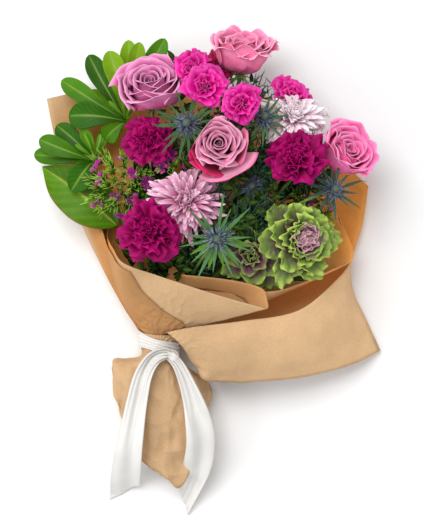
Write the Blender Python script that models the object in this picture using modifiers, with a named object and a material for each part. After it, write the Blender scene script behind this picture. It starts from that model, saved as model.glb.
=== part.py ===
"""Mixed flower bouquet in a kraft paper wrap, tied with a satin ribbon and laid on its back.

Every length is in millimetres until a mesh is made, where MM turns it into metres. +Z is up from the
surface that the bouquet lies on, and +Y runs from the cut stems towards the flower heads. Each bloom is
modelled in a frame of its own, with z along the way it faces and its origin where it sits on its stem.
"""

import math
from dataclasses import dataclass

import bmesh
import bpy
import numpy as np

for old in list(bpy.data.objects):
    bpy.data.objects.remove(old)

BOUQUET = bpy.data.collections.new("mixed_bouquet")
bpy.context.scene.collection.children.link(BOUQUET)

MM = 0.001
ORIGIN = np.array([0.0, -5.0, 0.0])  # the middle of the whole, on the surface it lies on

BLADE = 0.8  # thickness of petals and leaves
GAP = 0.4  # between pieces that touch
STEM_RADIUS = 2.4
PAPER = 0.8
FLAT_PAPER_Z = PAPER / 2

WAIST = np.array([-57.5, -92.0, 30.0])  # middle of the bundle under the ribbon
BUNDLE_AXIS = np.array([0.15, 0.96, 0.20])
TAIL_AXIS = np.array([0.03, -1.0, -0.03])
TAIL_LENGTH = 118.0

COLOURS = {
    "rose": (0.72, 0.24, 0.40),
    "magenta": (0.72, 0.02, 0.30),
    "dark_carnation": (0.36, 0.005, 0.12),
    "mum": (0.80, 0.42, 0.58),
    "kale_green": (0.22, 0.42, 0.06),
    "kale_purple": (0.36, 0.14, 0.28),
    "thistle_blue": (0.12, 0.17, 0.32),
    "thistle_green": (0.14, 0.30, 0.18),
    "leaf": (0.06, 0.24, 0.02),
    "stem": (0.16, 0.34, 0.07),
    "kraft": (0.50, 0.29, 0.13),
    "ribbon": (0.92, 0.91, 0.88),
}


# ---------------------------------------------------------------- vectors and meshes


def unit(vector):
    vector = np.asarray(vector, float)
    return vector / np.linalg.norm(vector)


def axes_facing(facing, roll=0.0):
    """A 3 x 3 matrix whose columns are the local x, y and z axes, z along facing, turned by roll degrees."""
    z = unit(facing)
    side = np.array([1.0, 0.0, 0.0]) if abs(z[0]) < 0.9 else np.array([0.0, 1.0, 0.0])
    x = unit(side - z * (side @ z))
    y = np.cross(z, x)
    turn = math.radians(roll)
    turned_x = x * math.cos(turn) + y * math.sin(turn)
    turned_y = y * math.cos(turn) - x * math.sin(turn)
    return np.column_stack([turned_x, turned_y, z])


def through(t, knots, values):
    """A smooth curve of t through the given values at the given knots."""
    return np.polyval(np.polyfit(knots, values, len(knots) - 1), t)


def smooth_rows(rows, count):
    """Catmull-Rom points through the first axis of rows, count steps to each span."""
    rows = np.asarray(rows, float)
    ends = np.concatenate([2 * rows[:1] - rows[1:2], rows, 2 * rows[-1:] - rows[-2:-1]])
    points = []
    for i in range(len(rows) - 1):
        p0, p1, p2, p3 = ends[i : i + 4]
        for t in np.arange(count) / count:
            points.append(
                0.5 * (2 * p1 + (p2 - p0) * t + (2 * p0 - 5 * p1 + 4 * p2 - p3) * t**2
                       + (3 * p1 - p0 - 3 * p2 + p3) * t**3)
            )
    return np.array([*points, rows[-1]])


def new_object(name, mesh):
    return bpy.data.objects.new(name, mesh)


def mesh_from(name, bm):
    mesh = bpy.data.meshes.new(name)
    bm.to_mesh(mesh)
    bm.free()
    return mesh


def blade(across, along, shape, thickness=BLADE):
    """A thin closed blade: a grid moved by shape(a, t), a from -1 to 1 across and t from 0 to 1 along it."""
    bm = bmesh.new()
    bmesh.ops.create_grid(bm, x_segments=across, y_segments=along, size=1)
    bmesh.ops.triangulate(bm, faces=bm.faces[:])
    flat = np.array([v.co for v in bm.verts])
    places = shape(flat[:, 0], (flat[:, 1] + 1) / 2)
    for vert, place in zip(bm.verts, places):
        vert.co = (place - ORIGIN) * MM
    obj = new_object("blade", mesh_from("blade", bm))
    add_thickness(obj, thickness)
    return obj


def add_thickness(obj, thickness):
    solid = obj.modifiers.new("thickness", "SOLIDIFY")
    solid.thickness = thickness * MM
    solid.offset = 0


def ball(axes, centre, radii, segments=8, rings=4):
    """An ellipsoid core with its radii along the axes."""
    bm = bmesh.new()
    bmesh.ops.create_uvsphere(bm, u_segments=segments, v_segments=rings, radius=1)
    for vert in bm.verts:
        vert.co = (centre + axes @ (np.array(vert.co) * radii) - ORIGIN) * MM
    return new_object("core", mesh_from("core", bm))


def cone(axes, bottom, top, bottom_radius, top_radius, segments=6):
    """A capped cone from one point to another along the axes' z."""
    bm = bmesh.new()
    bmesh.ops.create_cone(
        bm, cap_ends=True, segments=segments, radius1=bottom_radius, radius2=top_radius, depth=1
    )
    middle = (bottom + top) / 2
    length = np.linalg.norm(top - bottom)
    for vert in bm.verts:
        local = np.array(vert.co) * (1, 1, length)
        vert.co = (middle + axes @ local - ORIGIN) * MM
    return new_object("cone", mesh_from("cone", bm))


def tube(points, radius, sides_step=0):
    """A round stem along the points, as a mesh with closed ends."""
    curve = bpy.data.curves.new("stem", "CURVE")
    curve.dimensions = "3D"
    curve.bevel_depth = radius * MM
    curve.bevel_resolution = sides_step
    curve.use_fill_caps = True
    spline = curve.splines.new("POLY")
    spline.points.add(len(points) - 1)
    for point, place in zip(spline.points, points):
        point.co = (*((place - ORIGIN) * MM), 1)
    drawn = new_object("stem", curve)
    bpy.context.scene.collection.objects.link(drawn)
    bpy.context.view_layer.update()
    mesh = bpy.data.meshes.new_from_object(drawn.evaluated_get(bpy.context.evaluated_depsgraph_get()))
    bpy.data.objects.remove(drawn)
    bpy.data.curves.remove(curve)
    bm = bmesh.new()
    bm.from_mesh(mesh)
    bmesh.ops.remove_doubles(bm, verts=bm.verts[:], dist=0.01 * MM)
    bm.to_mesh(mesh)
    bm.free()
    return new_object("stem", mesh)


def material(name):
    made = bpy.data.materials.get(name)
    if made is None:
        made = bpy.data.materials.new(name)
        made.use_nodes = True
        shader = made.node_tree.nodes["Principled BSDF"]
        shader.inputs["Base Color"].default_value = (*COLOURS[name], 1)
        shader.inputs["Roughness"].default_value = 0.35 if name in ("leaf", "ribbon") else 0.65
        shader.inputs["Metallic"].default_value = 0
    return made


def keep(obj, name, colour):
    """Names a finished piece, gives it its material and files it in the bouquet's collection."""
    obj.name = name
    obj.data.name = name
    obj.data.materials.clear()
    obj.data.materials.append(material(colour))
    BOUQUET.objects.link(obj)
    return obj


def fused(core, repeats, name, colour):
    """One closed body: the core joined with all the repeats by a single union, which is applied."""
    work = bpy.data.collections.new("repeats")
    bpy.context.scene.collection.children.link(work)
    for piece in repeats:
        work.objects.link(piece)
    bpy.context.scene.collection.objects.link(core)
    union = core.modifiers.new("union", "BOOLEAN")
    union.operation = "UNION"
    union.operand_type = "COLLECTION"
    union.collection = work
    union.solver = "MANIFOLD"
    bpy.context.view_layer.update()
    mesh = bpy.data.meshes.new_from_object(core.evaluated_get(bpy.context.evaluated_depsgraph_get()))
    for piece in [core, *repeats]:
        bpy.data.objects.remove(piece)
    bpy.data.collections.remove(work)
    return keep(new_object(name, largest_body(mesh)), name, colour)


def largest_body(mesh):
    """The mesh without any loose scrap that the union left beside its largest body."""
    bm = bmesh.new()
    bm.from_mesh(mesh)
    bodies, seen = [], set()
    for start in bm.verts:
        if start in seen:
            continue
        body, edge = {start}, [start]
        while edge:
            linked = [e.other_vert(v) for v in edge for e in v.link_edges]
            edge = [v for v in set(linked) if v not in body]
            body.update(edge)
        seen |= body
        bodies.append(body)
    kept = max(bodies, key=len)
    bmesh.ops.delete(bm, geom=[v for v in bm.verts if v not in kept], context="VERTS")
    bm.to_mesh(mesh)
    bm.free()
    return mesh


# ---------------------------------------------------------------- where each head stands


@dataclass
class Head:
    """A bloom or head: the middle of what shows of it, the way it faces, how far it reaches sideways, and how
    far below its middle it sits on its stem."""

    centre: tuple
    facing: tuple
    reach: float
    depth: float
    roll: float = 0.0

    def __post_init__(self):
        self.centre = np.array(self.centre, float)
        self.axes = axes_facing(self.facing, self.roll)
        self.base = self.centre - self.axes[:, 2] * self.depth

    def place(self, local):
        return self.base + np.asarray(local, float) @ self.axes.T

    def fit(self, local):
        """Local points put in place, pressed back from the planes between this head and its neighbours."""
        placed = self.place(local)
        for other in HEADS.values():
            between = other.centre - self.centre
            distance = np.linalg.norm(between)
            if other is self or distance > NEAR * (self.reach + other.reach):
                continue
            normal = between / distance
            limit = distance * self.reach / (self.reach + other.reach) - CELL_MARGIN
            over = np.maximum((placed - self.centre) @ normal - limit, 0)
            placed = placed - PRESS * over[..., None] * normal
        return placed


NEAR = 1.25
CELL_MARGIN = 2.4
PRESS = 0.9  # how much of what reaches past the plane is pressed back

HEADS = {
    "rose_left": Head((-65, 202, 112), (-0.05, 0.70, 0.70), 45, 22, 20),
    "rose_top": Head((39, 242, 96), (0.10, 0.90, 0.42), 43, 22, 75),
    "rose_centre": Head((12, 136, 150), (0.00, 0.15, 1.0), 38, 26, 10),
    "rose_right": Head((156, 130, 98), (0.58, 0.38, 0.70), 40, 22, 40),
    "carnation_left": Head((-64, 38, 130), (0.00, 0.10, 1.0), 41, 14, 0),
    "carnation_mid": Head((-67, 144, 114), (-0.20, 0.10, 0.97), 37, 14, 30),
    "carnation_right": Head((100, 122, 130), (-0.10, 0.40, 0.90), 38, 14, 60),
    "mini_1": Head((-3, 201, 144), (0.05, 0.00, 1.0), 27, 9, 0),
    "mini_2": Head((38, 181, 150), (0.10, 0.00, 1.0), 25, 9, 35),
    "mini_3": Head((-18, 224, 116), (-0.25, 0.45, 0.85), 24, 9, 80),
    "mini_4": Head((94, 196, 92), (0.40, 0.60, 0.70), 26, 9, 20),
    "mini_5": Head((12, 229, 78), (0.00, 0.40, 0.90), 21, 9, 50),
    "mum_left": Head((-25, 74, 114), (0.00, 0.05, 1.0), 50, 12, 0),
    "mum_right": Head((95, 169, 102), (0.30, 0.40, 0.85), 46, 12, 25),
    "kale_large": Head((107, 31, 118), (0.40, 0.06, 0.91), 51, 22, 0),
    "kale_small": Head((50, 12, 88), (-0.10, -0.10, 0.98), 34, 16, 40),
    "thistle_1": Head((-24, 161, 148), (-0.10, 0.15, 1.0), 39, 8, 0),
    "thistle_2": Head((64, 169, 136), (0.15, 0.25, 0.95), 33, 8, 30),
    "thistle_3": Head((10, 31, 152), (0.00, -0.05, 1.0), 47, 8, 12),
    "thistle_4": Head((144, 88, 120), (0.30, 0.10, 0.95), 37, 8, 50),
    "thistle_5": Head((50, 92, 112), (0.05, 0.00, 1.0), 32, 8, 20),
    "sweet_william_1": Head((-102, 95, 92), (-0.20, 0.05, 0.97), 42, 16, 0),
    "sweet_william_2": Head((-32, 115, 100), (0.0, 0.05, 1.0), 28, 14, 40),
    "sweet_william_3": Head((124, 80, 84), (0.20, 0.20, 0.95), 24, 14, 70),
}


# ---------------------------------------------------------------- blooms


def ring_turns(count, start=0.0):
    return [start + 360.0 * i / count for i in range(count)]


@dataclass
class RosePetals:
    """One ring of rose petals: how many, how wide in degrees either way, and the radius and height of the
    petal's middle line at its foot, belly, neck and rolled lip."""

    count: int
    half_angle: float
    radii: tuple
    heights: tuple
    start: float


ROSE_REACH = 38.0
ROSE_RINGS = (
    RosePetals(2, 92, (3.0, 6.5, 6.5, 5.0), (4, 20, 38, 44), 0),
    RosePetals(3, 66, (3.5, 14, 16.0, 15), (3, 17, 35, 42), 30),
    RosePetals(3, 64, (4.0, 22, 25.5, 27), (2, 12, 31, 36), 80),
    RosePetals(4, 50, (4.5, 25, 33, 38), (0.5, 8, 21, 22), 55),
)


def rose_petal(ring, turn, size):
    """The pinwheel set of a petal: its right edge stands out from the bloom and its left edge tucks in."""

    def shape(a, t):
        radius = through(t, (0, 0.4, 0.8, 1), ring.radii) * (1 + 0.10 * a * np.minimum(1, 2 * t))
        height = through(t, (0, 0.4, 0.8, 1), ring.heights) - 7 * (a * t) ** 2
        angle = math.radians(turn) + np.radians(ring.half_angle) * a * (0.55 + 0.45 * t)
        return size * np.stack([radius * np.cos(angle), radius * np.sin(angle), height], axis=-1)

    return shape


def rose(name):
    head = HEADS[name]
    size = head.reach / ROSE_REACH
    petals = []
    for ring in ROSE_RINGS:
        for turn in ring_turns(ring.count, ring.start):
            shape = rose_petal(ring, turn, size)
            petals.append(blade(2, 2, lambda a, t, shape=shape: head.fit(shape(a, t))))
    core = cone(head.axes, head.base, head.place((0, 0, 9)), 6.5, 8.0)
    return fused(core, petals, name, "rose")


def ruffled_petal(turn, length, half_width, rise, wave, phase, foot=2.0):
    """A carnation petal: it climbs out of the calyx, leans out to its rise in degrees above flat, widens into
    a fan and waves more and more towards its toothed edge."""

    def shape(a, t):
        lean = np.radians(85 + (rise - 85) * np.minimum(1, 1.4 * t) * 0.75)
        out = foot + length * t * np.cos(lean)
        height = 3 + length * t * np.sin(lean)
        side = half_width * a * (0.12 + 0.88 * t**1.1)
        out = out - 0.22 * half_width * a**2 * t
        ruffle = wave * t**2 * np.sin(2.4 * math.pi * a + phase)
        out = out + ruffle * np.sin(lean)
        height = height + ruffle * np.cos(lean)
        angle = math.radians(turn)
        return np.stack(
            [
                out * math.cos(angle) - side * math.sin(angle),
                out * math.sin(angle) + side * math.cos(angle),
                height,
            ],
            axis=-1,
        )

    return shape


CARNATION_RINGS = ((5, 0.94, 0.50, 4, 0), (3, 0.66, 0.36, 46, 30))  # lengths and half widths to a reach of 1
MINI_RINGS = ((5, 0.92, 0.48, 6, 0), (3, 0.56, 0.30, 50, 30))


def carnation(name, rings, colour):
    """Rings of ruffled petals, each given as count, length, half width, rise and start."""
    head = HEADS[name]
    reach = head.reach
    petals = []
    for count, length, half_width, rise, start in rings:
        for i, turn in enumerate(ring_turns(count, start)):
            size = (length * reach, half_width * reach)
            shape = ruffled_petal(turn, *size, rise, 0.07 * reach, 1.7 * i + start)
            petals.append(blade(2, 1, lambda a, t, shape=shape: head.fit(shape(a, t))))
    core = ball(head.axes, head.place((0, 0, 7)), (0.3 * reach, 0.3 * reach, 7), segments=4, rings=3)
    return fused(core, petals, name, colour)


MUM_RINGS = ((9, 1.0, 3, 0), (6, 0.82, 28, 18), (4, 0.56, 56, 10))  # lengths to a reach of 1


def strap_petal(turn, length, half_width, rise, cup):
    """A chrysanthemum petal: a narrow strap, round at its tip and cupped along its middle."""

    def shape(a, t):
        lean = math.radians(rise) + np.radians(30) * (0.5 - t) * 0.4
        out = 2 + length * t * np.cos(lean)
        height = 4 + length * t * np.sin(lean) + cup * a**2 * t
        width = half_width * (0.35 + 0.65 * np.sin(math.pi * np.minimum(0.5, t * 0.65))) * (1 - 0.45 * t**6)
        angle = math.radians(turn)
        side = width * a
        return np.stack(
            [
                out * math.cos(angle) - side * math.sin(angle),
                out * math.sin(angle) + side * math.cos(angle),
                height,
            ],
            axis=-1,
        )

    return shape


def mum(name):
    head = HEADS[name]
    reach = head.reach
    petals = []
    for count, length, rise, start in MUM_RINGS:
        for turn in ring_turns(count, start):
            shape = strap_petal(turn, length * reach, 0.16 * reach, rise, 1.5)
            petals.append(blade(1, 2, lambda a, t, shape=shape: head.fit(shape(a, t))))
    core = ball(head.axes, head.place((0, 0, 7)), (0.48 * reach, 0.48 * reach, 7), segments=6)
    return fused(core, petals, name, "mum")


# Rings of leaves: count, length and half width to a reach of 1, rise and start.
KALE_OUTER = ((5, 0.98, 0.54, 10, 0), (4, 0.80, 0.44, 36, 40))
KALE_HEART = ((4, 0.58, 0.26, 38, 10), (3, 0.34, 0.13, 64, 60))
KALE_SMALL = ((4, 0.95, 0.56, 10, 20), (3, 0.68, 0.36, 46, 60))


def frilled_leaf(turn, length, half_width, rise, frill, phase, foot):
    """A kale leaf: a broad fan whose margin is frilled up and down."""

    def shape(a, t):
        lean = math.radians(rise) + np.radians(25) * (t - 0.4)
        out = foot + length * t * np.cos(lean)
        side = half_width * a * (0.12 + 0.88 * t**0.9)
        margin = np.maximum(np.abs(a) ** 2, t**3) * np.minimum(1, 3 * t)
        wave = frill * margin * np.sin(3.1 * math.pi * a + 5 * t + phase)
        height = 4 + length * t * np.sin(lean) + 0.16 * half_width * a**2 * t + wave * np.cos(lean)
        out = out - 0.3 * half_width * a**2 * t + wave * np.sin(lean)
        angle = math.radians(turn)
        return np.stack(
            [
                out * math.cos(angle) - side * math.sin(angle),
                out * math.sin(angle) + side * math.cos(angle),
                height,
            ],
            axis=-1,
        )

    return shape


def kale_leaves(name, rings, across, frill, foot, core_height, node, colour):
    head = HEADS[name]
    reach = head.reach
    leaves = []
    for count, length, half_width, rise, start in rings:
        for i, turn in enumerate(ring_turns(count, start)):
            shape = frilled_leaf(turn, length * reach, half_width * reach, rise, frill, 2.1 * i, foot)
            lift = np.array([0, 0, core_height])
            leaves.append(
                blade(across, 2, lambda a, t, shape=shape, lift=lift: head.fit(shape(a, t) + lift))
            )
    core_middle = head.place((0, 0, core_height + 6))
    core = ball(head.axes, core_middle, (2.5 * foot, 2.5 * foot, 6), segments=4, rings=3)
    return fused(core, leaves, node, colour)


# ---------------------------------------------------------------- stems

SLOT_PITCH = 5.08
STRAIGHT = 15.0  # the bundle runs straight this far to either side of the ribbon
TAIL_SPREAD = 1.12
WAIST_ALONG = unit(unit(BUNDLE_AXIS) - unit(TAIL_AXIS))
WAIST_RIGHT = unit(np.cross(WAIST_ALONG, [0, 0, 1]))
WAIST_UP = np.cross(WAIST_RIGHT, WAIST_ALONG)

FOLIAGE_TIPS = {
    "foliage_1": np.array([-96.0, 172.0, 54.0]),
    "foliage_2": np.array([-132.0, 126.0, 44.0]),
    "broad_leaf": np.array([-106.0, 50.0, 60.0]),
}
FORKS = {
    "spray_1": (("mini_1", "mini_2", "mini_3"), np.array([-2.0, 150.0, 78.0])),
    "spray_2": (("mini_4", "mini_5"), np.array([30.0, 140.0, 56.0])),
}


def stem_ends():
    """The top of each stem that reaches the ribbon, and the way it points down from there."""
    forked = {name for names, _ in FORKS.values() for name in names}
    ends = {}
    for name, head in HEADS.items():
        if name not in forked:
            kind = next((kind for kind in CALYXES if name.startswith(kind)), None)
            below = CALYXES[kind].height - 1.5 if kind else 2.0
            ends[name] = (drop(head, below), -head.axes[:, 2])
    middle = WAIST + unit(BUNDLE_AXIS) * STRAIGHT
    for name, tip in [*FOLIAGE_TIPS.items(), *((spray, fork) for spray, (_, fork) in FORKS.items())]:
        ends[name] = (tip, unit(middle - tip))
    return ends


def bundle_slots(ends):
    """Packs the stems under the ribbon in hexagon rings: those that leave the bundle at the widest angle lie in
    the outer rings, and each ring is filled in the order of the ways that its stems leave."""
    leaning = {}
    for name, (top, _) in ends.items():
        way = unit(top - WAIST)
        leaning[name] = complex(way @ WAIST_RIGHT, way @ WAIST_UP)
    middle = sum(leaning.values()) / len(leaning)
    names = sorted(leaning, key=lambda name: abs(leaning[name] - middle))
    slots, ring = {}, 0
    while names:
        in_ring = max(1, 6 * ring)
        members, names = names[:in_ring], names[in_ring:]
        places = hexagon_ring(ring)
        members.sort(key=lambda name: np.angle(leaning[name] - middle))
        turns = len(places) / len(members)
        best = min(range(len(places)), key=lambda k: sum(
            abs(np.angle(places[int(k + i * turns) % len(places)] / (leaning[name] - middle)))
            for i, name in enumerate(members)) if ring else 0)
        for i, name in enumerate(members):
            spot = places[int(best + i * turns) % len(places)]
            slots[name] = WAIST + WAIST_RIGHT * spot.real + WAIST_UP * spot.imag
        ring += 1
    return slots


def hexagon_ring(ring):
    if ring == 0:
        return [complex(0, 0)]
    sixths = [k * math.pi / 3 for k in range(7)]
    corners = [SLOT_PITCH * ring * complex(math.cos(turn), math.sin(turn)) for turn in sixths]
    places = [corners[k] + (corners[k + 1] - corners[k]) * i / ring for k in range(6) for i in range(ring)]
    return sorted(places, key=np.angle)


def bezier(p0, p1, p2, p3, count):
    t = (np.arange(count) / count)[:, None]
    return (1 - t) ** 3 * p0 + 3 * t * (1 - t) ** 2 * p1 + 3 * t**2 * (1 - t) * p2 + t**3 * p3


STEM_BENDS = 6
STEM_SPACE = 2 * STEM_RADIUS + 1.3


def stem_lines(ends, slots):
    """Each stem from just below its bloom, round into the bundle, straight under the ribbon and out to its cut
    end, with the upper part of any two that would cross eased apart."""
    lines = {}
    for name, (top, way) in ends.items():
        above = slots[name] + WAIST_ALONG * STRAIGHT
        length = np.linalg.norm(top - above)
        bundled = above + unit(BUNDLE_AXIS) * 0.42 * length
        lines[name] = np.array([*bezier(top, top + way * 0.22 * length, bundled, above, STEM_BENDS), above])
    ease_apart(lines)
    for name, line in lines.items():
        slot = slots[name]
        below = slot - WAIST_ALONG * STRAIGHT
        cut = WAIST + (slot - WAIST) * TAIL_SPREAD + unit(TAIL_AXIS) * TAIL_LENGTH
        lines[name] = [*line, below, cut]
    return lines


def nearest_on_segments(p, u, q, v):
    """How far along the segments p + s u and q + t v (0 to 1) their nearest points lie."""
    w = p - q
    uu, vv, uv = (u * u).sum(-1), (v * v).sum(-1), (u * v).sum(-1)
    uw, vw = (u * w).sum(-1), (v * w).sum(-1)
    s = np.clip((uv * vw - vv * uw) / np.maximum(uu * vv - uv**2, 1e-9), 0, 1)
    t = np.clip((uv * s + vw) / vv, 0, 1)
    return np.clip((uv * t - uw) / uu, 0, 1), t


def ease_apart(lines, rounds=200):
    """Pushes the stems' bends away from each other and out of the blooms they pass, and keeps their ends."""
    names = list(lines)
    points = np.array([lines[name] for name in names])
    last = points.shape[1] - 1
    first, second = np.triu_indices(len(names), 1)
    i, j = (grid.ravel() for grid in np.meshgrid(np.arange(last), np.arange(last), indexing="ij"))
    a, b = np.repeat(first, len(i)), np.repeat(second, len(i))
    i, j = np.tile(i, len(first)), np.tile(j, len(first))
    held = np.ones((1, last + 1, 1))
    held[0, 0] = held[0, -1] = 0
    for _ in range(rounds):
        p, q = points[a, i], points[b, j]
        u, v = points[a, i + 1] - p, points[b, j + 1] - q
        s, t = nearest_on_segments(p, u, q, v)
        apart = (p + s[:, None] * u) - (q + t[:, None] * v)
        distance = np.linalg.norm(apart, axis=1)
        close = np.flatnonzero(distance < STEM_SPACE)
        push = (apart[close] + 1e-6) / (distance[close, None] + 1e-6) * 0.5 * (STEM_SPACE - distance[close, None])
        move = np.zeros_like(points)
        for stem, knot, share, way in ((a, i, s, 1), (b, j, t, -1)):
            np.add.at(move, (stem[close], knot[close]), way * push * (1 - share[close, None]))
            np.add.at(move, (stem[close], knot[close] + 1), way * push * share[close, None])
        move += bloom_push(names, points)
        move[..., 2] -= 0.5 * under_flap(points)
        points += held * np.clip(move, -1.5, 1.5)
        points[:, 1:-1] += 0.02 * (points[:, 2:] + points[:, :-2] - 2 * points[:, 1:-1])
    for name, line in zip(names, points):
        lines[name] = line


def bloom_push(names, points):
    """How far each bend has to move for its stem to pass clear of the blooms and calyxes of the others."""
    move = np.zeros_like(points)
    starts, runs = points[:, :-1], points[:, 1:] - points[:, :-1]
    for head_name, head in HEADS.items():
        owners = [i for i, name in enumerate(names) if name == head_name or head_name in forked_heads(name)]
        for centre, radius in ((head.centre, BLOOM_SPACE * head.reach), (drop(head, 8), 14.0)):
            to_centre = centre - starts
            share = np.clip((to_centre * runs).sum(-1) / (runs * runs).sum(-1), 0, 1)
            apart = starts + share[..., None] * runs - centre
            distance = np.linalg.norm(apart, axis=-1)
            push = np.maximum(0, radius - distance)
            push[owners] = 0
            push = 0.4 * push[..., None] * apart / distance[..., None]
            move[:, :-1] += push * (1 - share[..., None])
            move[:, 1:] += push * share[..., None]
    return move


def under_flap(points):
    """The height that the stems stay below where the paper's front covers them."""
    over = points[..., 2] - (46 + 0.42 * (points[..., 1] + 77))
    inside = (points[..., 1] < -5) & (over > 0)
    return np.where(inside, over, 0.0)


BLOOM_SPACE = 0.9


def forked_heads(name):
    return FORKS[name][0] if name in FORKS else ()


def stem_line(name):
    return STEM_LINES[name]


def drop(head, depth):
    """A point below the head's base."""
    return head.place((0, 0, -depth))


@dataclass
class Calyx:
    """The green cup under a bloom: its height, and its radius at the stem and at the bloom."""

    height: float
    foot: float
    rim: float


CALYXES = {
    "rose": Calyx(10, 3.2, 6.4),
    "carnation": Calyx(20, 3.4, 5.6),
    "mum": Calyx(7, 3.2, 9.0),
    "kale": Calyx(14, 3.4, 8.0),
    "mini": Calyx(14, 2.9, 4.2),
}


def calyx_cup(head, calyx):
    return cone(head.axes, drop(head, calyx.height), drop(head, GAP), calyx.foot, calyx.rim)


def sepal(turn):
    """A rose sepal: a slim pointed blade that has bent back under the open bloom."""

    def shape(a, t):
        out = 4.5 + 17 * t
        width = 2.6 * a * (1 - t) ** 0.7 + 0.3 * a
        height = -3.5 - 6 * t**1.5
        angle = math.radians(turn)
        return np.stack(
            [
                out * math.cos(angle) - width * math.sin(angle),
                out * math.sin(angle) + width * math.cos(angle),
                height,
            ],
            axis=-1,
        )

    return shape


def single_stem(name, sepals=0):
    head = HEADS[name]
    calyx = CALYXES[name.split("_")[0]]
    stalk = tube(stem_line(name), STEM_RADIUS, sides_step=1 if name.startswith("kale") else 0)
    pieces = [calyx_cup(head, calyx)]
    for turn in ring_turns(sepals, 18):
        shape = sepal(turn)
        pieces.append(blade(1, 1, lambda a, t, shape=shape: head.fit(shape(a, t))))
    return fused(stalk, pieces, name + "_stem", "stem")


def forked_stem(spray):
    names, fork = FORKS[spray]
    stalk = tube(stem_line(spray), STEM_RADIUS)
    pieces = []
    for name in names:
        head = HEADS[name]
        top = drop(head, CALYXES["mini"].height - 1.5)
        reach = np.linalg.norm(top - fork)
        inside = fork + unit(WAIST - fork) * 4
        below_top = top - head.axes[:, 2] * 0.4 * reach
        line = bezier(top, below_top, fork + unit(fork - WAIST) * 0.3 * reach, inside, 3)
        pieces.append(tube([*line, inside], 1.5))
        pieces.append(calyx_cup(head, CALYXES["mini"]))
    return fused(stalk, pieces, spray + "_stem", "stem")


# ---------------------------------------------------------------- thistles and sweet william


BRACT_WIDTHS = (1.7, 3.3, 0.5)  # half widths at the foot, the spined middle and the tip


def bract(turn, length, rise, curl):
    """A sea holly bract: stiff and narrow, and widest where its spines stand out."""

    def shape(a, t):
        out = 4.5 + length * t
        height = -2.5 + out * math.tan(math.radians(rise)) * t + curl * t**2
        width = a * np.interp(t, (0, 0.5, 1), BRACT_WIDTHS)
        angle = math.radians(turn)
        return np.stack(
            [
                out * math.cos(angle) - width * math.sin(angle),
                out * math.sin(angle) + width * math.cos(angle),
                height,
            ],
            axis=-1,
        )

    return shape


def spike(turn, start, length, rise, half_width, lift):
    """A small pointed bract."""

    def shape(a, t):
        out = start + length * t * math.cos(math.radians(rise))
        height = lift + length * t * math.sin(math.radians(rise))
        width = half_width * a * (1 - 0.8 * t)
        angle = math.radians(turn)
        return np.stack(
            [
                out * math.cos(angle) - width * math.sin(angle),
                out * math.sin(angle) + width * math.cos(angle),
                height,
            ],
            axis=-1,
        )

    return shape


def thistle(name):
    head = HEADS[name]
    stalk = tube(stem_line(name), STEM_RADIUS)
    pieces = [ball(head.axes, drop(head, 3), (7.5, 7.5, 2.8), segments=5, rings=3)]
    for i, turn in enumerate(ring_turns(6)):
        shape = bract(turn, (0.78 + 0.1 * (i % 3)) * head.reach, 6 + 7 * (i % 2), 4)
        pieces.append(blade(1, 2, lambda a, t, shape=shape: head.fit(shape(a, t))))
    for turn in ring_turns(3, 26):
        shape = spike(turn, 5.5, 0.42 * head.reach, 36, 1.8, -2)
        pieces.append(blade(1, 1, lambda a, t, shape=shape: head.fit(shape(a, t))))
    fused(stalk, pieces, name + "_bracts", "thistle_green")
    keep(ball(head.axes, head.place((0, 0, 8.8 + GAP)), (6.4, 6.4, 8.8)), name + "_cone", "thistle_blue")


FLORETS = ((60, 10), (240, 11), (330, 9))  # the way each floret leans out, and how far


def floret(head, centre, radius):
    """Five petals as a ten-sided star, and the stalk that carries them."""
    bm = bmesh.new()
    bmesh.ops.create_circle(bm, cap_ends=True, cap_tris=True, segments=10, radius=1)
    rim = [v for v in bm.verts if v.co.length > 0.5]
    for i, vert in enumerate(sorted(rim, key=lambda v: math.atan2(v.co.y, v.co.x))):
        vert.co *= 1.0 if i % 2 else 0.72
    for vert in bm.verts:
        lift = 1.5 * vert.co.length
        vert.co = (head.fit(centre + np.array([vert.co.x * radius, vert.co.y * radius, lift])) - ORIGIN) * MM
    obj = new_object("floret", mesh_from("floret", bm))
    add_thickness(obj, BLADE)
    return obj


def sweet_william(name):
    head = HEADS[name]
    stalk = tube(stem_line(name), STEM_RADIUS, sides_step=1 if head.reach > 30 else 0)
    pieces = [ball(head.axes, head.place((0, 0, 5)), (8, 8, 7), segments=6)]
    for ring, (count, rise, length) in enumerate(((5, 20, 17), (3, 56, 13))):
        for i, turn in enumerate(ring_turns(count, 20 * ring)):
            reach = (length + 3 * (i % 2)) * head.reach / 24
            shape = spike(turn, 5 - 2 * ring, reach, rise, 2.6, 5 + 3 * ring)
            pieces.append(blade(1, 1, lambda a, t, shape=shape: head.fit(shape(a, t))))
    for turn, out in FLORETS[: 3 if head.reach > 30 else 2]:
        angle = math.radians(turn)
        top = np.array([out * math.cos(angle), out * math.sin(angle), 19.0])
        pieces.append(floret(head, top, 7.5))
        foot, top = head.place(top * 0.3), head.fit(top)
        pieces.append(cone(axes_facing(top - foot), foot, top, 1.0, 1.4, 4))
    fused(stalk, pieces, name, "stem")


# ---------------------------------------------------------------- leaves


OBOVATE = (0.10, 0.42, 0.80, 1.0, 0.72, 0.18)  # half widths from foot to tip
OVATE = (0.10, 0.78, 1.0, 0.86, 0.50, 0.06)

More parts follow.
